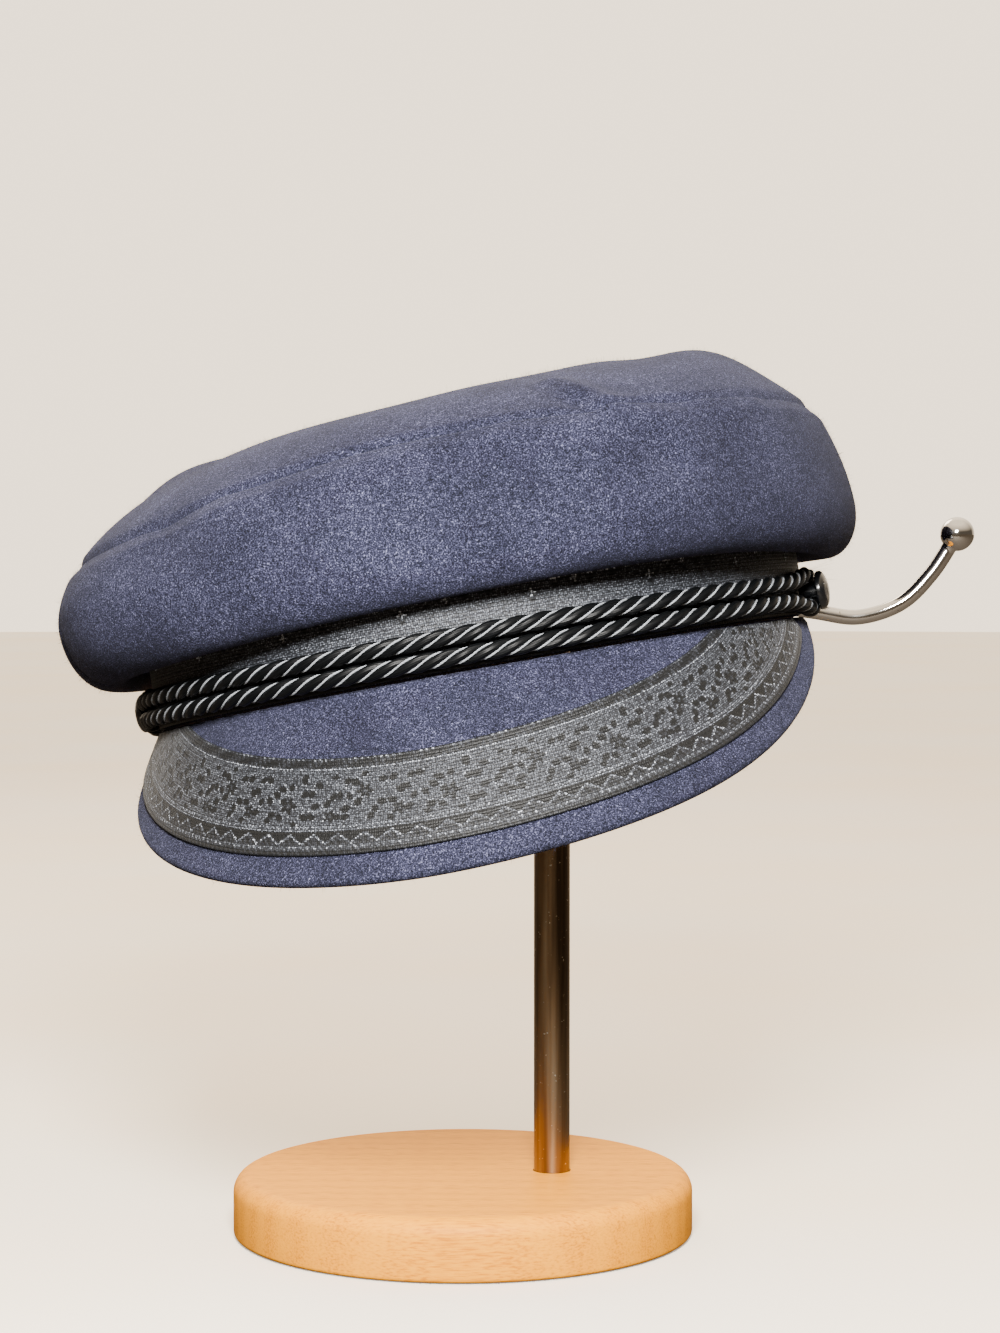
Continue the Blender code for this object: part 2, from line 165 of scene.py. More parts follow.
@dataclass(frozen=True)
class MeltonWool:
    """Melton wool: milled and brushed, so the weave is gone under a short felted nap."""

    name: str = "melton_wool"
    dark: str = "#090a11"
    mid: str = "#1a1b28"
    light: str = "#36374c"
    tip: str = "#70728f"
    fleck_mm: float = 0.38
    pill_mm: float = 1.7
    cloud_mm: float = 20.0

    def build(self) -> bpy.types.Material:
        """Build the wool.

        Returns:
            The material.
        """
        # Dyed fibres of several blues lie felted together: the eye sees a heathered speckle,
        # and the standing nap lightens every edge that turns away
        made, tree, shader = start_material(
            self.name,
            Roughness=0.95,
            Specular_IOR_Level=0.1,
            Sheen_Weight=0.06,
            Sheen_Roughness=0.45,
            Sheen_Tint=linear("#a4a8c8"),
        )
        place = add_node(tree, "TexCoord", "Object")
        flecks, pills, clouds = (
            add_node(
                tree,
                "TexNoise",
                "Fac",
                {"Vector": place, "Scale": 1 / (size * MM), "Detail": detail, "Roughness": 0.6},
            )
            for size, detail in ((self.fleck_mm, 4.0), (self.pill_mm, 3.0), (self.cloud_mm, 2.0))
        )
        tone = add_node(tree, "Math", 0, {0: pills, 1: 0.16, 2: flecks}, operation="MULTIPLY_ADD")
        tone = add_node(tree, "Math", 0, {0: clouds, 1: 0.14, 2: tone}, operation="MULTIPLY_ADD")
        tone = add_node(tree, "Math", 0, {0: tone, 1: 0.15}, operation="SUBTRACT")
        stops = [(0.34, self.dark), (0.49, self.mid), (0.61, self.light), (0.74, self.tip)]
        colour = add_node(tree, "ValToRGB", "Color", {"Fac": tone}, stops)
        tree.links.new(colour, shader.inputs["Base Color"])
        relief = add_node(tree, "Math", 0, {0: pills, 1: 0.9, 2: flecks}, operation="MULTIPLY_ADD")
        nap = add_node(tree, "Bump", "Normal", {"Height": relief, "Distance": 0.32 * MM, "Strength": 0.9})
        tree.links.new(nap, shader.inputs["Normal"])
        return made


@dataclass(frozen=True)
class Brocade:
    """Jacquard ribbon of viscose: satin floats and dark ground, read from the piece's own chart."""

    name: str = "viscose_brocade"
    ground: str = "#060708"
    satin: str = "#202227"
    dull: str = "#484c52"
    bright: str = "#757983"
    white: str = "#c6cbd1"
    rib_mm: float = 0.9
    pearl_mm: float = 0.55

    def build(self) -> bpy.types.Material:
        """Build the ribbon's cloth.

        Returns:
            The material.
        """
        # Bright viscose floats shine along their threads, so the satin glints in fine ribs
        made, tree, shader = start_material(
            self.name, Roughness=0.55, Specular_IOR_Level=0.28, Sheen_Weight=0.04, Sheen_Roughness=0.4
        )
        tone = add_node(tree, "Attribute", "Fac", attribute_name="tone")
        chart = add_node(tree, "UVMap", "UV", uv_map="chart")
        ribs = add_node(
            tree,
            "TexWave",
            "Fac",
            {"Vector": chart, "Scale": WAVE_PERIOD / (self.rib_mm * MM), "Distortion": 1.0, "Detail": 2.0},
            bands_direction="Y",
        )
        # Each float that lies on top is one bright pearl of the weave
        cells = {"Vector": chart, "Scale": 1 / (self.pearl_mm * MM), "Randomness": 0.5}
        gaps = add_node(tree, "TexVoronoi", "Distance", cells)
        pearls = add_node(tree, "Math", 0, {0: gaps, 1: -1.75, 2: 1.50}, operation="MULTIPLY_ADD")
        shine = add_node(tree, "Math", 0, {0: ribs, 1: 0.18, 2: pearls}, operation="MULTIPLY_ADD")
        lit = add_node(tree, "Math", 0, {0: tone, 1: shine}, operation="MULTIPLY")
        stops = [(0.10, self.ground), (0.42, self.satin), (0.62, self.dull)]
        stops += [(0.80, self.bright), (0.97, self.white)]
        colour = add_node(tree, "ValToRGB", "Color", {"Fac": lit}, stops)
        tree.links.new(colour, shader.inputs["Base Color"])
        relief = add_node(tree, "Math", 0, {0: pearls, 1: 1.2, 2: ribs}, operation="MULTIPLY_ADD")
        weave = add_node(tree, "Bump", "Normal", {"Height": relief, "Distance": 0.1 * MM, "Strength": 0.8})
        tree.links.new(weave, shader.inputs["Normal"])
        return made


@dataclass(frozen=True)
class TwistedYarn:
    """Twisted yarn: filaments that lie aslant along the strand, black rayon or grey thread."""

    name: str
    dark: str
    light: str
    roughness: float
    filament_mm: float = 0.45

    def build(self) -> bpy.types.Material:
        """Build the yarn.

        Returns:
            The material.
        """
        # Filament rayon is glassy: each turn of the ply has a soft streak of light on its crest
        made, tree, shader = start_material(self.name, Roughness=self.roughness, Specular_IOR_Level=0.12)
        strand = add_node(tree, "UVMap", "UV", uv_map="strand")
        aslant = add_node(
            tree, "Mapping", "Vector", {"Vector": strand, "Rotation": (0, 0, math.radians(65))}
        )
        scale = WAVE_PERIOD / (self.filament_mm * MM)
        filaments = add_node(tree, "TexWave", "Fac", {"Vector": aslant, "Scale": scale, "Distortion": 1.5})
        stops = [(0.15, self.dark), (0.9, self.light)]
        colour = add_node(tree, "ValToRGB", "Color", {"Fac": filaments}, stops)
        tree.links.new(colour, shader.inputs["Base Color"])
        twist = add_node(
            tree, "Bump", "Normal", {"Height": filaments, "Distance": 0.06 * MM, "Strength": 0.7}
        )
        tree.links.new(twist, shader.inputs["Normal"])
        return made


@dataclass(frozen=True)
class ChromePlate:
    """Bright chromium plate on steel wire and tube, with handling marks and a few pits."""

    name: str = "chrome_plate"
    plate: str = "#cfccc8"
    pit: str = "#6d6253"
    smear_mm: float = 9.0
    pit_mm: float = 1.3

    def build(self) -> bpy.types.Material:
        """Build the plate.

        Returns:
            The material.
        """
        # Plate mirrors the room: long light and dark streaks, blurred a little where it is smeared
        made, tree, shader = start_material(self.name, Metallic=1.0)
        place = add_node(tree, "TexCoord", "Object")
        smears = add_node(
            tree, "TexNoise", "Fac", {"Vector": place, "Scale": 1 / (self.smear_mm * MM), "Detail": 4.0}
        )
        pits = add_node(
            tree, "TexNoise", "Fac", {"Vector": place, "Scale": 1 / (self.pit_mm * MM), "Detail": 2.0}
        )
        stops = [(0.26, self.pit), (0.31, self.plate)]
        colour = add_node(tree, "ValToRGB", "Color", {"Fac": pits}, stops)
        tree.links.new(colour, shader.inputs["Base Color"])
        limits = {"Value": smears, "From Min": 0.35, "From Max": 0.7, "To Min": 0.05, "To Max": 0.17}
        tree.links.new(add_node(tree, "MapRange", "Result", limits), shader.inputs["Roughness"])
        return made


@dataclass(frozen=True)
class ReflectionStreakedTube:
    """Old nickel plate on drawn tube, brown with long streaks along the draw marks that are partly tarnish and
    partly painted reflection of the room.
    """

    name: str = "nickel_tube_with_painted_reflection"
    # The streak colours are painted reflection of the room, the darkest partly tarnish
    dark_tarnish_and_reflection: str = "#44372a"
    brown: str = "#806a50"
    light_painted_reflection: str = "#a5967f"
    bare: str = "#d9d3c6"
    streak_mm: float = 5.0
    speck_mm: float = 1.1

    def build(self) -> bpy.types.Material:
        """Build the plate.

        Returns:
            The material.
        """
        # Long dark and light streaks of painted reflection, partly tarnish, run along the plate, and where it
        # flaked off tiny bright specks show
        made, tree, shader = start_material(self.name, Metallic=1.0, Roughness=0.3)
        place = add_node(tree, "TexCoord", "Object")
        drawn = add_node(tree, "Mapping", "Vector", {"Vector": place, "Scale": (1.0, 1.0, 0.04)})
        streaks = add_node(
            tree, "TexNoise", "Fac", {"Vector": drawn, "Scale": 1 / (self.streak_mm * MM), "Detail": 3.0}
        )
        specks = add_node(
            tree, "TexNoise", "Fac", {"Vector": place, "Scale": 1 / (self.speck_mm * MM), "Detail": 2.0}
        )
        limits = {"Value": specks, "From Min": 0.70, "From Max": 0.76, "To Min": 0.0, "To Max": 0.4}
        flaked = add_node(tree, "MapRange", "Result", limits)
        tone = add_node(tree, "Math", 0, {0: streaks, 1: flaked}, operation="ADD")
        # Painted reflection: these stops colour the streaks as the mirrored room, the darkest partly tarnish
        stops = [(0.36, self.dark_tarnish_and_reflection), (0.50, self.brown), (0.66, self.light_painted_reflection), (0.90, self.bare)]
        colour = add_node(tree, "ValToRGB", "Color", {"Fac": tone}, stops)
        tree.links.new(colour, shader.inputs["Base Color"])
        return made


@dataclass(frozen=True)
class VarnishedBeech:
    """Turned beech under clear varnish."""

    name: str = "varnished_beech"
    light: str = "#ea9a04"
    mid: str = "#e08f02"
    dark: str = "#c57600"
    ring_mm: float = 8.0
    pore_mm: float = 0.5

    def build(self) -> bpy.types.Material:
        """Build the wood.

        Returns:
            The material.
        """
        # Beech has faint wide rings and short dark pores along the grain, here along X
        made, tree, shader = start_material(self.name, Roughness=0.5, Specular_IOR_Level=0.08)
        place = add_node(tree, "TexCoord", "Object")
        drawn = add_node(tree, "Mapping", "Vector", {"Vector": place, "Scale": (0.1, 1.0, 1.0)})
        rings = add_node(
            tree,
            "TexWave",
            "Fac",
            {"Vector": drawn, "Scale": WAVE_PERIOD / (self.ring_mm * MM), "Distortion": 5.0, "Detail": 3.0},
            bands_direction="Y",
        )
        pores = add_node(
            tree, "TexNoise", "Fac", {"Vector": drawn, "Scale": 1 / (self.pore_mm * MM), "Detail": 4.0}
        )
        tone = add_node(tree, "Math", 0, {0: rings, 1: 0.10, 2: pores}, operation="MULTIPLY_ADD")
        stops = [(0.34, self.dark), (0.50, self.mid), (0.68, self.light)]
        colour = add_node(tree, "ValToRGB", "Color", {"Fac": tone}, stops)
        tree.links.new(colour, shader.inputs["Base Color"])
        grain = add_node(tree, "Bump", "Normal", {"Height": pores, "Distance": 0.05 * MM, "Strength": 0.4})
        tree.links.new(grain, shader.inputs["Normal"])
        return made


@dataclass(frozen=True)
class MouldedPlastic:
    """Glossy black moulded plastic, with the faint waviness of its mould."""

    name: str = "black_button_plastic"
    colour: str = "#070809"
    shade: str = "#0e0f11"
    wave_mm: float = 2.0

    def build(self) -> bpy.types.Material:
        """Build the plastic.

        Returns:
            The material.
        """
        # A moulded button is dark and glossy, with one soft highlight on its dome
        made, tree, shader = start_material(self.name, Roughness=0.2, Coat_Weight=0.3, Coat_Roughness=0.08)
        place = add_node(tree, "TexCoord", "Object")
        waves = add_node(
            tree, "TexNoise", "Fac", {"Vector": place, "Scale": 1 / (self.wave_mm * MM), "Detail": 2.0}
        )
        stops = [(0.35, self.colour), (0.65, self.shade)]
        colour = add_node(tree, "ValToRGB", "Color", {"Fac": waves}, stops)
        tree.links.new(colour, shader.inputs["Base Color"])
        mould = add_node(tree, "Bump", "Normal", {"Height": waves, "Distance": 0.05 * MM, "Strength": 0.5})
        tree.links.new(mould, shader.inputs["Normal"])
        return made


@dataclass(frozen=True)
class PaintedFloor:
    """Matt pale paint of the studio's floor."""

    name: str = "pale_floor_paint"
    colour: str = "#f4ebdd"
    shade: str = "#f6e6ce"
    bounce: str = "#4f4a44"
    glow: str = "#fff0d8"
    glow_strength: float = 0.45
    mottle_mm: float = 250.0

    def build(self) -> bpy.types.Material:
        """Build the paint.

        Returns:
            The material.
        """
        # Rolled matt paint is even, and only a very slow mottle keeps it from looking flat. The
        # camera sees it pale, while it throws little light back up under the cap
        made, tree, shader = start_material(self.name, Roughness=0.9, Specular_IOR_Level=0.1)
        place = add_node(tree, "TexCoord", "Object")
        mottle = add_node(tree, "TexNoise", "Fac", {"Vector": place, "Scale": 1 / (self.mottle_mm * MM)})
        stops = [(0.3, self.shade), (0.7, self.colour)]
        paint = add_node(tree, "ValToRGB", "Color", {"Fac": mottle}, stops)
        seen = add_node(tree, "LightPath", "Is Camera Ray")
        mixed = add_node(
            tree, "MixRGB", "Color", {"Fac": seen, "Color1": linear(self.bounce), "Color2": paint}
        )
        tree.links.new(mixed, shader.inputs["Base Color"])
        lift = add_node(tree, "Math", 0, {0: seen, 1: self.glow_strength}, operation="MULTIPLY")
        shader.inputs["Emission Color"].default_value = linear(self.glow)
        tree.links.new(lift, shader.inputs["Emission Strength"])
        return made


def edit_all(piece: bpy.types.Object) -> None:
    """Open one piece in edit mode with everything selected.

    Args:
        piece: mesh object.
    """
    bpy.ops.object.select_all(action="DESELECT")
    piece.select_set(True)
    bpy.context.view_layer.objects.active = piece
    bpy.ops.object.mode_set(mode="EDIT")
    bpy.ops.mesh.select_all(action="SELECT")


def apply_modifier(piece: bpy.types.Object, kind: str, **settings: object) -> None:
    """Add a modifier with its settings and apply it.

    Args:
        piece: mesh object.
        kind: modifier type.
        settings: modifier properties.
    """
    modifier = piece.modifiers.new(kind.lower(), kind)
    for name, value in settings.items():
        setattr(modifier, name, value)
    bpy.ops.object.select_all(action="DESELECT")
    piece.select_set(True)
    bpy.context.view_layer.objects.active = piece
    bpy.ops.object.modifier_apply(modifier=modifier.name)


def model_sheet(
    name: str,
    faces: tuple[int, int],
    place: Place,
    uv: tuple[str, Place] | None = None,
    tone: Place | None = None,
    solid: bool = True,
) -> bpy.types.Object:
    """Model a piece from a grid primitive whose points are moved onto a surface.

    Args:
        name: the piece's name.
        faces: number of faces along u and v.
        place: gives points for arrays of u and v, both from 0 to 1.
        uv: name of the UV map, and the function that gives its values.
        tone: gives the value of the "tone" attribute.
        solid: whether the surface closes on itself, but for ends that are capped.

    Returns:
        The piece.
    """
    bpy.ops.object.select_all(action="DESELECT")
    bpy.ops.mesh.primitive_grid_add(x_subdivisions=faces[0], y_subdivisions=faces[1], size=1, calc_uvs=True)
    piece = bpy.context.object
    piece.name = name
    mesh = piece.data
    mesh.name = name
    flat = np.empty(len(mesh.vertices) * 3)
    mesh.vertices.foreach_get("co", flat)
    u, v = flat.reshape(-1, 3)[:, 0] + 0.5, flat.reshape(-1, 3)[:, 1] + 0.5
    mesh.vertices.foreach_set("co", place(u, v).astype(float).ravel())
    if uv:
        corner = np.empty(len(mesh.loops), dtype=np.int32)
        mesh.loops.foreach_get("vertex_index", corner)
        mesh.uv_layers[0].name = uv[0]
        mesh.uv_layers[0].data.foreach_set("uv", uv[1](u, v)[corner].astype(float).ravel())
    if tone:
        mesh.attributes.new("tone", "FLOAT", "POINT").data.foreach_set("value", tone(u, v).astype(float))
    edit_all(piece)
    bpy.ops.mesh.remove_doubles(threshold=1e-6)
    if solid:
        bpy.ops.mesh.select_all(action="DESELECT")
        bpy.ops.mesh.select_non_manifold(use_wire=False, use_multi_face=False, use_non_contiguous=False)
        bpy.ops.mesh.fill_holes(sides=0)
        bpy.ops.mesh.select_all(action="SELECT")
    bpy.ops.mesh.normals_make_consistent(inside=False)
    bpy.ops.object.mode_set(mode="OBJECT")
    bpy.ops.object.shade_smooth()
    return piece


def fibres(name: str, roots: np.ndarray, tips: np.ndarray, radius: float) -> bpy.types.Object:
    """Make many thin tapered fibres as one piece, each a closed spike.

    Args:
        name: the piece's name.
        roots: rows of x, y, z of their thick ends.
        tips: rows of x, y, z of their points.
        radius: radius at the thick end.

    Returns:
        The piece.
    """
    bpy.ops.mesh.primitive_cone_add(vertices=3, radius1=1, radius2=0, depth=2)
    piece = bpy.context.object
    piece.name = name
    spike = np.array([vertex.co for vertex in piece.data.vertices])
    apply_modifier(piece, "ARRAY", count=len(roots))
    along = tips - roots
    heading = along / np.linalg.norm(along, axis=1, keepdims=True)
    side = np.cross(heading, np.where(np.abs(heading[:, 2:]) < 0.9, [[0, 0, 1.0]], [[1.0, 0, 0]]))
    side /= np.linalg.norm(side, axis=1, keepdims=True)
    up = np.cross(heading, side)
    x, y, z = (spike[None, :, axis, None] for axis in range(3))
    points = roots[:, None] + along[:, None] * (z + 1) / 2 + radius * (x * side[:, None] + y * up[:, None])
    piece.data.vertices.foreach_set("co", points.ravel())
    piece.data.update()
    return piece


@dataclass(frozen=True)
class Nap:
    """Loose fibres that stand off a wool panel."""

    count: int
    seed: int
    shortest: float = 0.0007
    longest: float = 0.0017
    radius: float = 0.000035
    # How far a fibre's foot strays from a face's middle, and how deep it stands in the cloth
    stray: float = 0.0004
    depth: float = 0.0004
    lean: float = 0.75
    # A panel's skin faces away from a point this far under the panel's middle
    below: float = 0.03

    def grow(self, name: str, cloth: bpy.types.Object) -> bpy.types.Object:
        """Make the fibres of one panel.

        Args:
            name: the piece's name.
            cloth: the panel.

        Returns:
            The piece.
        """
        rng = np.random.default_rng(self.seed)
        faces = cloth.data.polygons
        centres, normals, areas = (np.zeros(size * len(faces)) for size in (3, 3, 1))
        faces.foreach_get("center", centres)
        faces.foreach_get("normal", normals)
        faces.foreach_get("area", areas)
        centres, normals = centres.reshape(-1, 3), normals.reshape(-1, 3)
        # Only the skin that faces out of the cap has a nap worth seeing
        inside = centres.mean(axis=0) - np.array([0, 0, self.below])
        areas *= ((centres - inside) * normals).sum(axis=1) > 0
        chosen = rng.choice(len(faces), self.count, p=areas / areas.sum())
        roots = centres[chosen] + rng.normal(0, self.stray, (self.count, 3))
        lean = normals[chosen] + rng.normal(0, self.lean, (self.count, 3))
        lean /= np.linalg.norm(lean, axis=1, keepdims=True)
        length = rng.uniform(self.shortest, self.longest, (self.count, 1))
        return fibres(name, roots - self.depth * normals[chosen], roots + length * lean, self.radius)


def turned(name: str, profile: list[tuple[float, float, float]], sides: int) -> bpy.types.Object:
    """Turn a profile about an upright axis, as on a lathe.

    Args:
        name: the piece's name.
        profile: the axis's X, and the radius and height, at each corner from the bottom up.
        sides: faces round the axis.

    Returns:
        The piece, with its sharp corners kept.
    """
    count = len(profile) - 1

    def place(u: np.ndarray, v: np.ndarray) -> np.ndarray:
        rows = np.array(profile).T
        axis, radius, height = (np.interp(v * count, np.arange(count + 1), row) for row in rows)
        return np.stack([axis + radius * np.cos(math.tau * u), radius * np.sin(math.tau * u), height], -1)

    piece = model_sheet(name, (sides, count), place)
    bpy.ops.object.shade_smooth_by_angle(angle=math.radians(40))
    return piece


def dress(piece: bpy.types.Object, material: bpy.types.Material, slot: str, *nodes: str) -> None:
    """Give a finished piece its material and its body, and hide the CAD nodes that it stands for.

    Args:
        piece: finished piece.
        material: its finish.
        slot: the record's material slot; not used.
        nodes: CAD nodes that it replaces.
    """
    piece.data.materials.clear()
    piece.data.materials.append(material)
    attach(piece, BODY)
    if nodes:
        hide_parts(*nodes)
    LOG.info("%s: %d faces of %s", piece.name, len(piece.data.polygons), material.name)


def ease(low: float, high: float, value: np.ndarray) -> np.ndarray:
    """Rise smoothly from 0 at low to 1 at high.

    Args:
        low: value where the rise starts.
        high: value where it ends.
        value: array of values.

    Returns:
        Array of shares from 0 to 1.
    """
    share = np.clip((value - low) / (high - low), 0, 1)
    return share * share * (3 - 2 * share)


def section_walk(v: np.ndarray, stops: list[tuple[float, float, float]]) -> tuple[np.ndarray, np.ndarray]:
    """Walk round a section whose corners are given with the number of faces up to each.

    Args:
        v: share of the way round, from 0 to 1.
        stops: number of faces up to a corner, and the corner's two coordinates.

    Returns:
        Both coordinates at each v.
    """
    count, first, second = np.array(stops, dtype=float).T
    return np.interp(v * count[-1], count, first), np.interp(v * count[-1], count, second)


@dataclass(frozen=True)
class CapForm:
    """Sizes of the cap's frame and of its band, as the solids have them."""

    centre: tuple[float, float, float] = (0.0064, 0.0, 0.1579)
    turn: float = math.radians(9.7)
    nod: float = math.radians(3.5)
    roll: float = math.radians(10.2)
    half_width: float = 0.091
    half_length: float = 0.100
    band_height: float = 0.032
    gap: float = 0.0003
    ribbon: float = 0.0006

    def to_world(self, points: np.ndarray) -> np.ndarray:
        """Carry points of the cap's frame to the stand's frame.

        Args:
            points: rows of x, y, z.

        Returns:
            The same points in the stand's frame.
        """
        pose = np.array(Euler((-self.nod, -self.roll, -self.turn), "ZXY").to_matrix())
        return points @ pose.T + np.array(self.centre)

    def oval(self, angle: np.ndarray, out: np.ndarray | float, height: np.ndarray | float) -> np.ndarray:
        """Points beside the band's outer oval, in the cap's frame.

        Args:
            angle: angles from the peak's middle.
            out: distances out from the band.
            height: heights over the band's lower edge.

        Returns:
            Rows of x, y, z.
        """
        across = (self.half_width + out) * np.sin(angle)
        along = -(self.half_length + out) * np.cos(angle)
        return np.stack(np.broadcast_arrays(across, along, height), -1)

    def outward(self, angle: np.ndarray) -> np.ndarray:
        """Directions square to the band's oval.

        Args:
            angle: angles from the peak's middle.

        Returns:
            Unit rows of x, y, z in the cap's frame.
        """
        across, ahead = np.sin(angle) / self.half_width, -np.cos(angle) / self.half_length
        normal = np.stack([across, ahead, 0 * angle], -1)
        return normal / np.linalg.norm(normal, axis=-1, keepdims=True)

    def arc_length(self, angle: np.ndarray, out: float = 0.0) -> np.ndarray:
        """Length along the band from the peak's middle.

        Args:
            angle: angles from the peak's middle.
            out: distance out from the band.

        Returns:
            Signed lengths.
        """
        fine = np.linspace(-math.tau, math.tau, 2001)
        pieces = np.linalg.norm(np.diff(self.oval(fine, out, 0), axis=0), axis=1)
        length = np.concatenate([[0], np.cumsum(pieces)])
        return np.interp(angle, fine, length - length[-1] / 2)


@dataclass(frozen=True)
class Crown:
    """Slack crown: an oval top panel and two side panels that fold down over the band."""

    form: CapForm
    wool: bpy.types.Material
    cloth: float = 0.002
    root: float = 0.0007
    seam_left: float = math.radians(-62.0)
    seam_right: float = math.radians(97.0)
    wall_power: float = 1.8
    top_middle: float = 0.051
    top_dome: float = 0.0185
    top_power: float = 5.6
    around: int = 440
    # Seam allowances pull the cloth in by this much, over this far
    seam_dip: float = 0.0015
    seam_reach: float = 0.0030
    # One row for every 45 degrees from the front towards +X: overhang, fold's height,
    # belly's height, seam's inset, seam's height
    rows: tuple[tuple[float, ...], ...] = (
        (0.0161, 0.0179, 0.0331, 0.0070, 0.0572),
        (0.0237, 0.0182, 0.0334, 0.0034, 0.0564),
        (0.0195, 0.0148, 0.0281, 0.0058, 0.0545),
        (0.0190, 0.0177, 0.0319, 0.0068, 0.0517),
        (0.0211, 0.0170, 0.0320, 0.0061, 0.0474),
        (0.0206, 0.0149, 0.0299, 0.0059, 0.0453),
        (0.0213, 0.0132, 0.0297, 0.0066, 0.0457),
        (0.0248, 0.0149, 0.0324, 0.0064, 0.0480),
    )
    # Puffs of the top: x, y, half width, half depth, height
    puffs: tuple[tuple[float, ...], ...] = (
        (-0.084, 0.000, 0.024, 0.024, 0.0084),
        (-0.030, 0.000, 0.030, 0.060, 0.0068),
        (0.036, 0.000, 0.028, 0.060, 0.0070),
        (0.076, -0.010, 0.026, 0.060, 0.0085),
        (-0.068, 0.000, 0.020, 0.040, 0.0019),
        (0.019, 0.000, 0.014, 0.060, 0.0020),
        (0.064, 0.000, 0.010, 0.060, -0.0029),
        (0.0855, -0.010, 0.010, 0.060, 0.0011),
    )
    # Folds of the side cloth: angle in degrees, share of the wall's height, half widths of
    # both, and how far the fold stands out
    folds: tuple[tuple[float, ...], ...] = (
        (-52.0, 0.35, 9.0, 0.5, 0.0010),
        (-34.0, 0.60, 8.0, 0.4, -0.0010),
        (-18.0, 0.70, 12.0, 0.5, 0.0009),
        (4.0, 0.80, 9.0, 0.5, 0.0012),
        (17.0, 0.55, 6.0, 0.4, -0.0012),
        (31.0, 0.90, 10.0, 0.4, 0.0014),
        (46.0, 0.45, 8.0, 0.5, -0.0010),
        (63.0, 0.60, 10.0, 0.5, 0.0010),
        (120.0, 0.50, 12.0, 0.5, 0.0012),
        (150.0, 0.60, 12.0, 0.5, -0.0012),
        (180.0, 0.45, 14.0, 0.5, 0.0012),
        (212.0, 0.60, 12.0, 0.5, -0.0011),
        (245.0, 0.45, 14.0, 0.5, 0.0012),
        (275.0, 0.60, 12.0, 0.5, -0.0010),
    )

    # Creases that run on over the top's seam: both ends, half width and lift, in mm
    creases: tuple[tuple[float, ...], ...] = (
        (46, -85, 67, 61, -97, 58, 4.0, 1.6),
        (61, -97, 58, 80, -86, 46, 4.5, 1.5),
        (53, -96, 60, 75, -94, 42, 4.0, -2.2),
        (36, -107, 52, 51, -105, 45, 7.0, 1.2),
        (80, -80, 56, 94, -62, 55, 2.6, 0.8),
        (91, -67, 52, 100, -49, 50, 3.0, -1.0),
        (-39, -104, 51, -30, -111, 42, 6.5, 0.9),
        (-58, -95, 52, -50, -106, 39, 5.5, -1.0),
        (-6, -111, 44, 14, -112, 40, 6.0, -0.7),
    )
    # Which way a crease lifts the cloth
    crease_way: tuple[float, float, float] = (0.0, -0.6, 0.8)

    def build(self) -> None:
        """Build the three panels."""
        self.build_top()
        self.build_side("crown_front_panel", "crown_front", self.seam_left, self.seam_right)
        self.build_side("crown_back_panel", "crown_back", self.seam_right, self.seam_left + math.tau)

    def sizes(self, angle: np.ndarray) -> np.ndarray:
        """Sizes of the crown at each angle, on a smooth line through the rows.

        Args:
            angle: angles from the peak's middle.

        Returns:
            Five arrays: overhang, fold, belly, inset and seam.
        """
        rows = np.array(self.rows)
        where = (angle / math.tau * len(rows)) % len(rows)
        first = np.floor(where).astype(int)
        t = (where - first)[..., None]
        a, b, c, d = (rows[(first + step) % len(rows)] for step in (-1, 0, 1, 2))
        cubic = (3 * b - a - 3 * c + d) * t**3
        smooth = 0.5 * (2 * b + (c - a) * t + (2 * a - 5 * b + 4 * c - d) * t**2 + cubic)
        return np.moveaxis(smooth, -1, 0)

    def slack(self, angle: np.ndarray, rise: np.ndarray) -> np.ndarray:
        """How far the folds of the side cloth stand out.

        Args:
            angle: angles from the peak's middle.
            rise: share of the wall's height.

        Returns:
            Distances outwards.
        """
        out = 0 * angle
        for middle, height, wide, tall, depth in self.folds:
            off = (np.degrees(angle) - middle + 180) % 360 - 180
            out += depth * np.exp(-((off / wide) ** 2) - ((rise - height) / tall) ** 2)
        return out

    def creased(self, points: np.ndarray) -> np.ndarray:
        """Lift or sink the cloth along the creases.

        Args:
            points: rows of x, y, z in the cap's frame.

        Returns:
            The moved rows.
        """
        lift = np.zeros(len(points))
        for crease in self.creases:
            start, end = (np.array(crease[at : at + 3]) * MM for at in (0, 3))
            wide, height = crease[6] * MM, crease[7] * MM
            run = end - start
            share = np.clip((points - start) @ run / (run @ run), 0, 1)
            off = np.linalg.norm(points - start - share[:, None] * run, axis=1)
            lift += height * np.exp(-((off / wide) ** 2))
        return points + lift[:, None] * np.array(self.crease_way)

    def build_side(self, name: str, node: str, start: float, end: float) -> None:
        """Build one side panel.

        Args:
            name: the piece's name.
            node: CAD node that it stands for.
            start: angle of its first upright seam.
            end: angle of its last one.
        """

        def place(u: np.ndarray, v: np.ndarray) -> np.ndarray:
            angle = start + (end - start) * u
            over, fold, belly, inset, seam = self.sizes(angle)
            turn = -math.pi + np.clip(v * 2, 0, 1) * math.pi
            rise = np.clip(v * 2 - 1, 0, 1)
            low = v < 0.5
            middle, reach = (self.root + over) / 2, (over - self.root) / 2
            out = np.where(low, middle + reach * np.cos(turn), over - inset * rise**self.wall_power)
            height = np.where(low, belly + (belly - fold) * np.sin(turn), belly + (seam - belly) * rise)
            out += self.slack(angle, rise) * ease(0.25, 0.5, v)
            to_end = np.minimum(u, 1 - u) * (end - start) * self.form.half_length
            to_top = np.where(low, 1.0, (seam - belly) * (1 - rise))
            at_end = (1 - ease(0, self.seam_reach, to_end)) * ease(0.1, 0.4, v)
            out -= self.seam_dip * np.maximum(at_end, 1 - ease(0, self.seam_reach, to_top))
            return self.form.to_world(self.creased(self.form.oval(angle, out, height)))

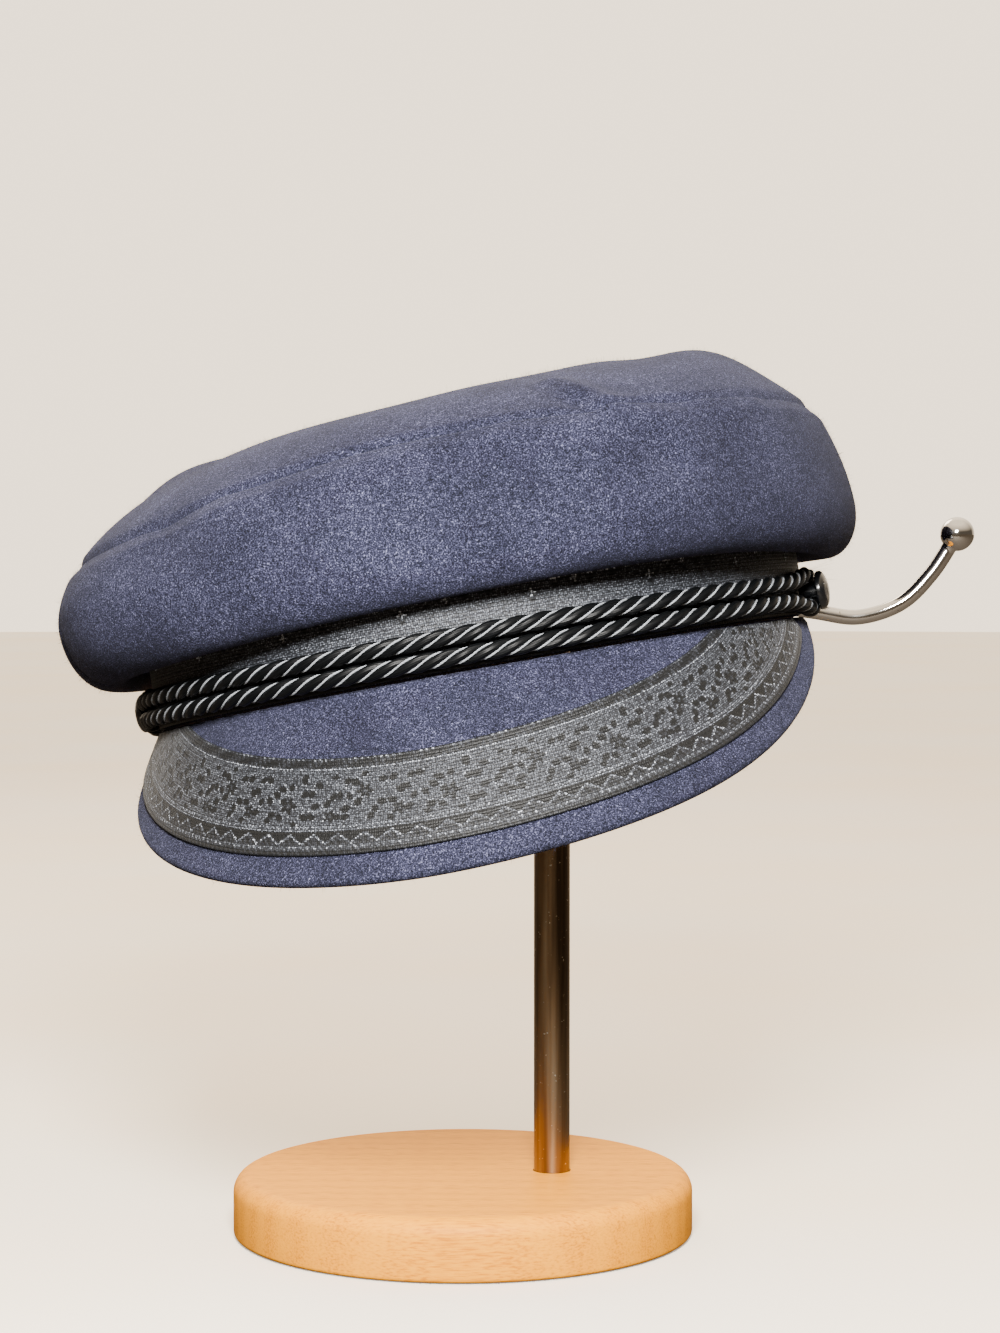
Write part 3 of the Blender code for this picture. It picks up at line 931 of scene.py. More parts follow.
        around = round((end - start) / math.tau * self.around)
        panel = model_sheet(name, (around, 72), place, solid=False)
        apply_modifier(panel, "SOLIDIFY", thickness=self.cloth, offset=-1)
        dress(panel, self.wool, "navy_wool", node)
        fuzz = Nap(6000, around).grow(name.replace("panel", "nap"), panel)
        dress(fuzz, self.wool, "navy_wool")

    def build_top(self) -> None:
        """Build the top panel."""

        def place(u: np.ndarray, v: np.ndarray) -> np.ndarray:
            angle = u * math.tau
            share = 1 - (1 - v) ** 1.3
            over, _, _, inset, seam = self.sizes(angle)
            to_rim = (1 - share) * self.form.half_width
            dip = self.seam_dip * (1 - ease(0, self.seam_reach, to_rim))
            points = self.form.oval(angle, over - inset, 0) * share[:, None]
            points -= self.form.outward(angle) * dip[:, None]
            height = seam * share**2 + self.top_middle * (1 - share**2)
            height += self.top_dome * (1 - share**self.top_power) - dip
            for x, y, wide, deep, rise in self.puffs:
                bell = np.exp(-(((points[:, 0] - x) / wide) ** 2) - ((points[:, 1] - y) / deep) ** 2)
                height += rise * bell * (1 - share**6)
            points[:, 2] = height
            return self.form.to_world(self.creased(points))

        panel = model_sheet("crown_top_panel", (self.around, 88), place, solid=False)
        apply_modifier(panel, "SOLIDIFY", thickness=0.8 * self.cloth, offset=-1)
        dress(panel, self.wool, "navy_wool", "crown_top")
        dress(Nap(7000, 5).grow("crown_top_nap", panel), self.wool, "navy_wool")


@dataclass(frozen=True)
class HeadBand:
    """Upright wool band, with its lower edge pushed up where the arm carries it."""

    form: CapForm
    wool: bpy.types.Material
    thickness: float = 0.003
    lift_angle: float = math.radians(99.0)
    lift_height: float = 0.0058
    lift_width: float = 0.010

    def build(self) -> None:
        """Build the band as one closed ring."""
        form = self.form
        half = self.thickness / 2

        def place(u: np.ndarray, v: np.ndarray) -> np.ndarray:
            angle = u * math.tau
            off = (angle - self.lift_angle) * form.half_length
            foot = self.lift_height * np.exp(-((off / self.lift_width) ** 2))
            # Up the outside, over the rounded top, down the inside and round the foot
            side, share = section_walk(v, [(0, 0, 0), (24, 0, 1), (30, 1, 1), (54, 1, 0), (60, 2, 0)])
            turn = side * math.pi
            out = -half + half * np.cos(turn)
            bulge = np.where(side <= 1, 1.0, -1.0) * half * np.abs(np.sin(turn))
            height = foot + half + (form.band_height - foot - self.thickness) * share + bulge
            return form.to_world(form.oval(angle, out, height))

        ring = model_sheet("head_band_wool", (360, 60), place)
        dress(ring, self.wool, "navy_wool", "head_band")


@dataclass(frozen=True)
class BrocadeChart:
    """Chart of the woven ornament: leaves, rosettes and vines of a common floral ribbon.

    A chart gives a tone from 0, the dark ground, over 0.5, the satin, to 1, the bright floats.
    """

    ribbon: Ribbon
    width_mm: float
    repeat_mm: float
    zigzag_mm: float = 6.4
    ragged_mm: float = 0.16
    field_middle: float = 15.4
    fullness: float = 1.25
    # Rosettes of the field: along the ribbon, from its outer edge, radius, petals
    rosettes: tuple[tuple[float, ...], ...] = (
        (8.0, 13.6, 2.6, 5),
        (20.2, 10.6, 1.9, 5),
        (29.0, 17.2, 2.4, 6),
        (37.6, 11.4, 2.0, 5),
    )
    # Leaves of the field: along the ribbon, from its outer edge, length, width, turn
    leaves: tuple[tuple[float, ...], ...] = (
        (3.2, 11.0, 2.9, 1.6, 35), (4.0, 16.6, 3.1, 1.6, -40), (12.6, 16.9, 2.9, 1.5, 30),
        (12.9, 10.4, 2.9, 1.6, -35), (8.3, 18.9, 2.6, 1.4, 80), (15.9, 13.5, 3.1, 1.5, 10),
        (16.5, 19.4, 2.9, 1.5, -25), (20.6, 15.9, 2.8, 1.5, 60), (24.1, 12.5, 3.1, 1.6, 25),
        (24.4, 20.3, 2.6, 1.5, 45), (25.0, 16.0, 2.6, 1.3, -60), (33.3, 13.9, 2.9, 1.6, -20),
        (33.6, 20.2, 2.9, 1.5, 15), (30.7, 10.1, 2.6, 1.4, 50), (37.9, 16.6, 2.9, 1.5, -50),
        (40.6, 20.4, 2.7, 1.4, 30), (41.2, 14.4, 2.5, 1.4, 75), (0.8, 20.6, 2.7, 1.5, -15),
        (20.9, 21.5, 2.3, 1.3, 5), (12.2, 21.8, 2.3, 1.3, -10), (28.8, 22.2, 2.2, 1.2, 20),
    )
    # White blooms of the band: along it, over its foot, radius
    blooms: tuple[tuple[float, ...], ...] = (
        (0.0, 15.6, 1.3), (6.5, 18.4, 1.3), (11.5, 17.8, 1.3), (16.0, 18.8, 1.0), (22.0, 19.6, 1.8),
    )

    def tone(self, along: np.ndarray, across: np.ndarray) -> np.ndarray:
        """Tone of the weave.

        Args:
            along: lengths along the ribbon, in metres.
            across: on the peak the distance from the outer edge, on the band the height.

        Returns:
            Tones from 0 to 1.
        """
        x, y = along / MM, across / MM
        # A jacquard motif has ragged edges, where it steps from thread to thread
        off_x, off_y = np.sin(7.3 * y + 2 * np.sin(3.1 * x)), np.sin(6.1 * x + 1.7 * y)
        x, y = x + self.ragged_mm * off_x, y + self.ragged_mm * off_y
        drawn = self.peak_tone(x, y) if self.ribbon is Ribbon.PEAK else self.band_tone(x, y)
        return np.clip(drawn, 0, 1)

    def beside(self, x: np.ndarray, middle: float) -> np.ndarray:
        """Distance along the ribbon from the nearest repeat of a motif.

        Args:
            x: places along the ribbon.
            middle: the motif's place in the repeat.

        Returns:
            Signed distances.
        """
        return (x - middle + self.repeat_mm / 2) % self.repeat_mm - self.repeat_mm / 2

    def zigzag(self, x: np.ndarray) -> np.ndarray:
        """Height of the zigzag, from -1 to 1.

        Args:
            x: places along the ribbon.

        Returns:
            Heights.
        """
        return 4 * np.abs(x / self.zigzag_mm % 1 - 0.5) - 1

    def peak_tone(self, x: np.ndarray, y: np.ndarray) -> np.ndarray:
        """Tone of the peak's ribbon.

        Args:
            x: places along the ribbon.
            y: distances from its outer edge.

        Returns:
            Tones, not yet clipped.
        """
        tone = 0.50 + 0 * x
        rim = 0 * x
        for middle, height, radius, petals in self.rosettes:
            dx, dy = self.beside(x, middle), y - height
            far = np.hypot(dx, dy)
            edge = radius * (0.74 + 0.26 * np.cos(petals * np.arctan2(dy, dx))) - far
            rim = np.maximum(rim, np.exp(-(((edge + 0.38) / 0.28) ** 2)))
            inside = ease(-0.15, 0.15, edge)
            tone = tone * (1 - inside) + inside * 0.10
            tone = np.where(far < 0.25 * radius, 0.45, tone)
        # The leaves come twice in a repeat, the second time turned over
        for shift, turned_over in ((0.0, 1), (0.5 * self.repeat_mm + 2.3, -1)):
            for middle, height, length, width, turn in self.leaves:
                dx = self.beside(x, middle + shift)
                dy = (y - self.field_middle) * turned_over + self.field_middle - height
                lean = math.radians(turn)
                p, q = dx * math.cos(lean) + dy * math.sin(lean), dy * math.cos(lean) - dx * math.sin(lean)
                edge = self.fullness * width / 2 * (1 - (2 * p / length) ** 2) - np.abs(q)
                near = np.abs(p) < length / 2 + 0.5
                rim = np.maximum(rim, near * np.exp(-(((edge + 0.32) / 0.24) ** 2)))
                inside = ease(-0.15, 0.15, edge)
                tone = tone * (1 - inside) + inside * 0.07
        for middle, swing, shift in ((14.6, 2.6, 0.0), (18.6, 1.6, 2.4)):
            vine = middle + swing * np.sin(math.tau * x / self.repeat_mm * 2 + shift)
            rim = np.maximum(rim, 0.8 * np.exp(-(((y - vine) / 0.28) ** 2)))
        tone += 0.30 * rim * (0.6 + 0.4 * np.cos(math.tau * x / 0.9)) * (tone > 0.2)
        return self.borders(tone, x, y)

    def borders(self, tone: np.ndarray, x: np.ndarray, y: np.ndarray) -> np.ndarray:
        """Lay both borders of the peak's ribbon over its field.

        Args:
            tone: tones of the field.
            x: places along the ribbon.
            y: distances from its outer edge.

        Returns:
            Tones with the borders.
        """
        inner = self.width_mm - y
        dashes = 0.5 + 0.5 * np.cos(math.tau * (x + 0.6 * y) / 1.7)
        line = 4.4 + 1.3 * self.zigzag(x)
        tone = np.where(y < 7.4, 0.36, tone)
        tone = np.where((y > line) & (y < 6.5), 0.07, tone)
        tone = np.where((y < line) & (y > 2.7) & (dashes > 0.5), 0.16, tone)
        tone = np.where(y < 1.2, 0.10 + 0.20 * (dashes > 0.6), tone)
        tone += 0.50 * np.exp(-(((y - 2.0) / 0.42) ** 2)) * dashes
        tone += 0.75 * np.exp(-(((y - line) / 0.30) ** 2)) * (y > 2.4)
        tone += 0.36 * np.exp(-(((y - 6.7) / 0.24) ** 2)) + 0.28 * np.exp(-(((y - 7.5) / 0.22) ** 2))
        blots = np.cos(math.tau * x / 2.9) * np.cos(math.tau * (x + y) / 4.2)
        tone = np.where(inner < 3.0, 0.14 + 0.26 * (blots > 0.25), tone)
        tone += 0.40 * np.exp(-(((inner - 3.1) / 0.24) ** 2)) * (0.5 + 0.5 * dashes)
        tone += 0.55 * np.exp(-(((inner - 0.4) / 0.28) ** 2)) * dashes
        return tone

    def band_tone(self, x: np.ndarray, y: np.ndarray) -> np.ndarray:
        """Tone of the band's ribbon.

        Args:
            x: places along the ribbon.
            y: heights over its foot.

        Returns:
            Tones, not yet clipped.
        """
        tone = 0.56 + 0.08 * np.cos(math.tau * (0.35 * x - y) / 0.9)
        for middle, height, radius in self.blooms:
            dx, dy = self.beside(x, middle), y - height
            turn = np.arctan2(dy, dx)
            edge = radius * (0.66 + 0.40 * np.cos(4 * turn + middle)) - np.hypot(dx, dy)
            tone += 0.80 * ease(-0.2, 0.2, edge) - 0.40 * np.exp(-(((edge + 0.5) / 0.35) ** 2))
            # A dark berry hangs under each bloom
            tone -= 0.34 * ease(0.75, 0.45, np.hypot(dx - 0.2, dy + radius + 0.5))
        line = 21.6 + 0.8 * self.zigzag(x)
        tone += 0.45 * np.exp(-(((y - line) / 0.3) ** 2)) - 0.2 * (y > line)
        wander = 20.2 + 1.0 * np.sin(math.tau * x / 5.5) * np.sin(math.tau * x / self.repeat_mm)
        tone += 0.35 * np.exp(-(((y - wander) / 0.26) ** 2))
        tone -= 0.16 * np.exp(-(((y - wander + 0.7) / 0.4) ** 2))
        tone = np.where(y > 23.2, 0.2, tone)
        # Painted shade: towards its foot, under and below the cords, the ribbon is darkened so it reads as
        # shadow
        return tone * ease(3.0, 9.0, y)


@dataclass(frozen=True)
class BandRibbon:
    """Brocade ribbon round the front of the band."""

    form: CapForm
    brocade: bpy.types.Material
    foot: float = 0.0005
    top: float = 0.0245
    end: float = math.radians(92.0)
    relief: float = 0.00012
    chart: BrocadeChart = field(default=BrocadeChart(Ribbon.BAND, width_mm=24.0, repeat_mm=33.0))

    def build(self) -> None:
        """Build the ribbon."""
        form = self.form

        def walk(u: np.ndarray, v: np.ndarray) -> tuple[np.ndarray, np.ndarray, np.ndarray]:
            share, depth = section_walk(v, [(0, 0, 0), (72, 1, 0), (73, 1, 1), (75, 0, 1), (76, 0, 0)])
            return self.end * (2 * u - 1), share, depth

        def chart(u: np.ndarray, v: np.ndarray) -> np.ndarray:
            angle, share, _ = walk(u, v)
            return np.stack([form.arc_length(angle), (self.top - self.foot) * share], -1)

        def tone(u: np.ndarray, v: np.ndarray) -> np.ndarray:
            return self.chart.tone(*chart(u, v).T)

        def place(u: np.ndarray, v: np.ndarray) -> np.ndarray:
            angle, share, depth = walk(u, v)
            out = form.gap + form.ribbon * (1 - depth) + self.relief * (tone(u, v) - 0.5) * (1 - depth)
            return form.to_world(form.oval(angle, out, self.foot + (self.top - self.foot) * share))

        ribbon = model_sheet("band_brocade", (1000, 76), place, ("chart", chart), tone)
        dress(ribbon, self.brocade, "brocade", "band_ribbon")


@dataclass(frozen=True)
class Peak:
    """Cloth-covered peak with a rounded outer edge, and its crescent of brocade."""

    form: CapForm
    wool: bpy.types.Material
    brocade: bpy.types.Material
    thickness: float = 0.0034
    end: float = math.radians(89.0)
    length: float = 0.0552
    end_length: float = 0.0025
    powers: tuple[float, float] = (1.85, 1.22)
    # How much further out the cloth stands at the right, about which angle, over how wide a one
    right: tuple[float, float, float] = (0.0025, math.radians(42.0), math.radians(27.0))
    slope: float = math.radians(57.5)
    end_slope: float = math.radians(60.0)
    margin: float = 0.0075
    ribbon_width: float = 0.027
    ribbon_start: float = 0.001
    ribbon_tip: float = 0.003
    relief: float = 0.00014
    chart: BrocadeChart = field(default=BrocadeChart(Ribbon.PEAK, width_mm=27.0, repeat_mm=42.0))

    def build(self) -> None:
        """Build the peak and its ribbon."""
        self.build_body()
        self.build_ribbon()

    def reach(self, angle: np.ndarray) -> np.ndarray:
        """Length of the peak from the band to its outer edge.

        Args:
            angle: angles from the peak's middle.

        Returns:
            Lengths.
        """
        rise, fall = self.powers
        share = np.clip(np.abs(angle) / self.end, 0, 1)
        further, middle, spread = self.right
        even = self.end_length + (self.length - self.end_length) * (1 - share**rise) ** fall
        return even + further * np.exp(-(((angle - middle) / spread) ** 2))

    def point(self, angle: np.ndarray, along: np.ndarray, above: np.ndarray | float) -> np.ndarray:
        """Points a distance along the peak's upper skin and above it.

        Args:
            angle: angles from the peak's middle.
            along: distances from the band.
            above: heights over the upper skin.

        Returns:
            Rows of x, y, z in the stand's frame.
        """
        slope = (self.slope + (self.end_slope - self.slope) * (angle / self.end) ** 2)[:, None]
        out, up = self.form.outward(angle), np.array([[0, 0, 1.0]])
        down = out * np.cos(slope) - up * np.sin(slope)
        normal = out * np.sin(slope) + up * np.cos(slope)
        above = np.broadcast_to(above, angle.shape)[:, None]
        return self.form.to_world(
            self.form.oval(angle, 0, -self.form.gap) + down * along[:, None] + normal * above
        )

    def build_body(self) -> None:
        """Build the wool-covered peak."""
        half = self.thickness / 2

        def place(u: np.ndarray, v: np.ndarray) -> np.ndarray:
            angle = self.end * (2 * u - 1)
            length = self.reach(angle)
            nose = np.minimum(half, length / 3)
            # Out along the top, round the nose, back underneath, and up beside the band
            share, turn = section_walk(v, [(0, 0, 0), (44, 1, 0), (54, 1, 1), (84, 0, 1), (88, 0, 1)])
            lift = section_walk(v, [(0, 0, 0), (84, 0, 0), (88, 1, 0)])[0]
            along = (length - nose) * share + nose * np.sin(turn * math.pi)
            above = (half * (np.cos(turn * math.pi) - 1)) * (1 - lift)
            return self.point(angle, along, above)

        body = model_sheet("peak_wool", (440, 88), place)
        dress(body, self.wool, "navy_wool", "peak")
        dress(Nap(5000, 9).grow("peak_nap", body), self.wool, "navy_wool")

    def build_ribbon(self) -> None:
        """Build the crescent of ribbon inside the peak's bare margin."""
        shortest = self.margin + self.ribbon_start + self.ribbon_tip
        fine = np.linspace(0, self.end, 400)
        last = float(fine[self.reach(-fine) > shortest].max())

        def walk(u: np.ndarray, v: np.ndarray) -> tuple[np.ndarray, ...]:
            angle = last * (2 * u - 1)
            outer = self.reach(angle) - self.margin
            inner = np.maximum(outer - self.ribbon_width, self.ribbon_start)
            share, depth = section_walk(v, [(0, 0, 0), (84, 1, 0), (85, 1, 1), (87, 0, 1), (88, 0, 0)])
            return angle, outer, inner + (outer - inner) * share, depth

        def chart(u: np.ndarray, v: np.ndarray) -> np.ndarray:
            angle, outer, along, _ = walk(u, v)
            # The ribbon's own length is taken along its middle, out on the sloping peak
            out = 0.5 * self.length * math.cos(self.slope)
            return np.stack([self.form.arc_length(angle, out), outer - along], -1)

        def tone(u: np.ndarray, v: np.ndarray) -> np.ndarray:
            return self.chart.tone(*chart(u, v).T)

        def place(u: np.ndarray, v: np.ndarray) -> np.ndarray:
            angle, _, along, depth = walk(u, v)
            above = self.form.gap + (self.form.ribbon + self.relief * (tone(u, v) - 0.5)) * (1 - depth)
            return self.point(angle, along, above)

        ribbon = model_sheet("peak_brocade", (1000, 88), place, ("chart", chart), tone)
        dress(ribbon, self.brocade, "brocade", "peak_ribbon")


@dataclass(frozen=True)
class TrimCord:
    """Endless three-ply cord: two runs that turn round the side buttons, a thread in each groove."""

    form: CapForm
    rayon: bpy.types.Material
    thread: bpy.types.Material
    radius: float = 0.0024
    middle: float = 0.00605
    half_spacing: float = 0.00255
    out: float = 0.0036
    loop_radius: float = 0.0046
    loop_angle: float = math.radians(85.0)
    loop_flare: float = math.radians(12.0)
    plies: int = 3
    ply_radius: float = 0.00123
    lead: float = 0.0195
    thread_radius: float = 0.00031
    # Frayed ends: how many, least and most angle in degrees, height and length, spread, radius
    tuft: int = 24
    tuft_angles: tuple[float, float] = (93.0, 96.0)
    tuft_heights: tuple[float, float] = (0.0095, 0.0125)
    tuft_lengths: tuple[float, float] = (0.006, 0.0115)
    tuft_out: float = 0.0012
    tuft_spread: float = 0.22
    tuft_droop: float = 0.12
    tuft_radius: float = 0.00005
    faces_along: int = 1300

    def build(self) -> None:
        """Build the plies and the groove threads."""
        # The plies are pressed flat against each other, and a thread rests on two of them
        ply = self.ply_radius
        offset = self.radius - ply
        reach = ply + 0.9 * self.thread_radius
        groove = offset / 2 + math.sqrt(reach**2 - 3 / 4 * offset**2)
        for index in range(self.plies):
            phase = math.tau * index / self.plies
            strand = self.strand(f"trim_cord_ply_{index + 1}", offset, ply, phase, 12)
            dress(strand, self.rayon, "black_rayon", "trim_cord")
            name = f"trim_cord_thread_{index + 1}"
            thread = self.strand(name, groove, self.thread_radius, phase + math.pi / self.plies, 6)
            dress(thread, self.thread, "black_rayon")
        dress(self.frayed_tuft(), self.thread, "black_rayon")

    def frayed_tuft(self) -> bpy.types.Object:
        """Build the frayed ends that stick out behind the right button.

        Returns:
            The piece.
        """
        rng = np.random.default_rng(3)
        angle = np.radians(rng.uniform(*self.tuft_angles, self.tuft))
        roots = self.form.oval(angle, self.tuft_out, rng.uniform(*self.tuft_heights, self.tuft))
        spread = self.form.outward(angle) + rng.normal(0, self.tuft_spread, (self.tuft, 3))
        spread -= np.array([0, 0, self.tuft_droop])
        tips = roots + rng.uniform(*self.tuft_lengths, (self.tuft, 1)) * spread
        ends = self.form.to_world(roots), self.form.to_world(tips)
        return fibres("frayed_tuft", *ends, self.tuft_radius)

    def line(self) -> tuple[np.ndarray, np.ndarray, np.ndarray]:
        """Centre line of the whole loop.

        Returns:
            Angles, heights and lengths along the line, with its first point again at the end.
        """
        run = np.linspace(-self.loop_angle, self.loop_angle, 900)
        share = np.clip(1 - (self.loop_angle - np.abs(run)) / self.loop_flare, 0, 1)
        part = self.half_spacing + (self.loop_radius - self.half_spacing) * share**2 * (3 - 2 * share)
        turn = np.linspace(-math.pi / 2, math.pi / 2, 60)[1:-1]
        beyond = self.loop_angle + self.loop_radius * np.cos(turn) / self.form.half_length
        rise = self.loop_radius * np.sin(turn)
        angle = np.concatenate([run, beyond, run[::-1], -beyond, run[:1]])
        height = self.middle + np.concatenate([-part, rise, part[::-1], -rise, -part[:1]])
        steps = np.linalg.norm(np.diff(self.form.oval(angle, self.out, height), axis=0), axis=1)
        return angle, height, np.concatenate([[0], np.cumsum(steps)])

    def strand(self, name: str, offset: float, radius: float, phase: float, sides: int) -> bpy.types.Object:
        """Build one strand that winds round the cord's line.

        Args:
            name: the piece's name.
            offset: distance of its middle from the cord's line.
            radius: its own radius.
            phase: its place round the line.
            sides: faces round it.

        Returns:
            The piece.
        """
        form = self.form
        angles, heights, lengths = self.line()
        total = lengths[-1]
        turns = round(total / self.lead)

        def frame(u: np.ndarray) -> tuple[np.ndarray, np.ndarray, np.ndarray]:
            at = u % 1 * total
            here, after = (
                form.oval(np.interp(s, lengths, angles), self.out, np.interp(s, lengths, heights))
                for s in (at, (at + total / 4000) % total)
            )
            along = (after - here) / np.linalg.norm(after - here, axis=1, keepdims=True)
            out = form.outward(np.interp(at, lengths, angles))
            side = np.cross(along, out)
            return here, out, side / np.linalg.norm(side, axis=1, keepdims=True)

        def place(u: np.ndarray, v: np.ndarray) -> np.ndarray:
            here, out, side = frame(u)
            wind = phase - math.tau * turns * u
            swing = math.tau * v
            out_by = offset * np.cos(wind) + radius * np.cos(swing)
            side_by = offset * np.sin(wind) + radius * np.sin(swing)
            return form.to_world(here + out * out_by[:, None] + side * side_by[:, None])

        def strand_uv(u: np.ndarray, v: np.ndarray) -> np.ndarray:
            return np.stack([u * total, (v + turns * u) * math.tau * radius], -1)

        return model_sheet(name, (self.faces_along, sides), place, ("strand", strand_uv))


@dataclass(frozen=True)
class SideButtons:
    """Domed side buttons on stems that pass through the cord's loops."""

    form: CapForm
    plastic: bpy.types.Material
    cord: TrimCord
    radius: float = 0.0052
    height: float = 0.0030
    stem: float = 0.0016
    edge: float = 0.0004

    def build(self) -> None:
        """Build both buttons."""
        for name, angle in (("button_left", -self.cord.loop_angle), ("button_right", self.cord.loop_angle)):
            head = 2 * self.cord.radius + self.form.gap
            rim = head + self.height / 3
            dome = head + self.height - rim
            # Foot, stem, back of the head, rounded rim, and a dome with a shallow ring round its middle
            profile = [(0, 0), (self.stem, 0), (self.stem, head), (self.radius - self.edge, head)]
            profile += [(self.radius, head + self.edge), (self.radius, rim)]
            for turn in np.linspace(0, math.pi / 2, 10)[1:6]:
                profile.append((self.radius * math.cos(turn), rim + dome * math.sin(turn)))
            profile += [(share * self.radius, rim + rise * dome) for share, rise in
                        ((0.42, 0.84), (0.34, 0.93), (0.2, 0.985), (0, 1))]
            button = turned(name + "_moulding", [(0, *corner) for corner in profile], 64)
            out = self.form.outward(np.array([angle]))[0]
            base = self.form.oval(np.array([angle]), 0, self.cord.middle)[0]
            base += out * (self.form.ribbon + 2 * self.form.gap)
            pose = Vector(out).to_track_quat("Z", "Y").to_matrix()
            points = np.array([pose @ vertex.co for vertex in button.data.vertices]) + base
            button.data.vertices.foreach_set("co", self.form.to_world(points).ravel())
            dress(button, self.plastic, "button_plastic", name)


@dataclass(frozen=True)
class Stand:
    """Wooden base, chrome post, and two upturned arms that end in balls."""

    wood: bpy.types.Material
    chrome: bpy.types.Material
    tube: bpy.types.Material
    base_radius: float = 0.065
    base_height: float = 0.017
    base_round: float = 0.005
    foot_round: float = 0.00125
    socket_depth: float = 0.010
    post_radius: float = 0.0051
    post_x: float = 0.0252
    arm_radius: float = 0.00215
    ball_radius: float = 0.0048
    gap: float = 0.0003
    # Solder stands this much round the rod where it enters the post, over this far
    solder: tuple[float, float] = (0.0009, 0.0016)
    # Centre line of an arm: distance from the post's axis, and height
    route: tuple[tuple[float, float], ...] = (
        (0.0, 0.1872), (0.0300, 0.1826), (0.0600, 0.1778), (0.0743, 0.1755),
        (0.0864, 0.1740), (0.0983, 0.1779), (0.1070, 0.1864), (0.1141, 0.1974),
    )

    def build(self) -> None:
        """Build the base, the post and the arms."""
        self.build_base()
        self.build_post()
        dress(self.arm_rod(), self.chrome, "chrome", "stand_post")

    def build_base(self) -> None:
        """Build the turned base with its socket."""
        rise = np.linspace(0, math.pi / 2, 9)
        foot = self.base_radius - self.foot_round
        shoulder = self.base_radius - self.base_round
        top = self.base_height - self.base_round
        profile = [(0, 0, 0), (0, foot, 0)]
        for t in rise[2::2]:
            profile.append((0, foot + self.foot_round * math.sin(t), self.foot_round * (1 - math.cos(t))))
        for t in rise:
            out, up = self.base_round * math.cos(t), self.base_round * math.sin(t)
            profile.append((0, shoulder + out, top + up))
        # The flat top runs in to the socket's mouth, which stands off the base's own axis
        socket = self.post_radius + self.gap
        for radius, height in ((socket, 0), (socket, -self.socket_depth), (0, -self.socket_depth)):
            profile.append((self.post_x, radius, self.base_height + height))
        base = turned("turned_base", profile, 192)
        dress(base, self.wood, "varnished_wood", "stand_base")

    def build_post(self) -> None:
        """Build the round-headed post."""
        foot = self.base_height - self.socket_depth + self.gap
        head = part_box("stand_post")[1].z
        shoulder = head - self.post_radius
        profile = [(0, foot), (self.post_radius, foot)]
        profile += [(self.post_radius, foot + share * (shoulder - foot)) for share in (0.3, 0.6)]
        for turn in np.linspace(0, math.pi / 2, 12):
            out, up = self.post_radius * math.cos(turn), self.post_radius * math.sin(turn)
            profile.append((out, shoulder + up))
        post = turned("post_tube", [(self.post_x, *corner) for corner in profile], 72)
        dress(post, self.tube, "chrome", "stand_post")

    def arm_line(self) -> tuple[np.ndarray, np.ndarray]:
        """Smooth line of one arm with its radii, the ball included.

        Returns:
            Rows of distance and height, and the radius at each.
        """
        knots = np.array(self.route)
        knots = np.vstack([2 * knots[0] - knots[1], knots, 2 * knots[-1] - knots[-2]])
        line = []
        for a, b, c, d in zip(knots, knots[1:], knots[2:], knots[3:]):
            t = np.linspace(0, 1, 16, endpoint=False)[:, None]
            cubic = (3 * b - a - 3 * c + d) * t**3
            line.append(0.5 * (2 * b + (c - a) * t + (2 * a - 5 * b + 4 * c - d) * t**2 + cubic))
        line = np.vstack(line)
        ball = np.array(self.route[-1])
        line = line[np.linalg.norm(line - ball, axis=1) > 1.15 * self.ball_radius]
        heading = (ball - line[-1]) / np.linalg.norm(ball - line[-1])
        swing = np.linspace(math.asin(self.arm_radius / self.ball_radius), math.pi, 22)
        stand, over = self.solder
        clear = np.clip(line[:, 0] - self.post_radius, 0, 1)
        rod = self.arm_radius + stand * np.exp(-((clear / over) ** 2))
        line = np.vstack([line, ball - heading * self.ball_radius * np.cos(swing)[:, None]])
        return line, np.concatenate([rod, self.ball_radius * np.sin(swing)])

    def arm_rod(self) -> bpy.types.Object:
        """Build both arms as one bent rod.

        Returns:
            The rod.
        """
        line, radii = self.arm_line()
        line = np.vstack([line[:0:-1] * np.array([-1, 1]), line])
        radii = np.concatenate([radii[:0:-1], radii])
        heading = np.gradient(line, axis=0)
        heading /= np.linalg.norm(heading, axis=1, keepdims=True)
        count = np.arange(len(line))

        def place(u: np.ndarray, v: np.ndarray) -> np.ndarray:
            at = u * count[-1]
            x, z, along_x, along_z, radius = (
                np.interp(at, count, column) for column in (*line.T, *heading.T, radii)
            )
            lean = radius * np.cos(math.tau * v)
            side = radius * np.sin(math.tau * v)
            return np.stack([self.post_x + x - along_z * lean, side, z + along_x * lean], -1)

        return model_sheet("arm_rod", (int(count[-1]), 32), place)


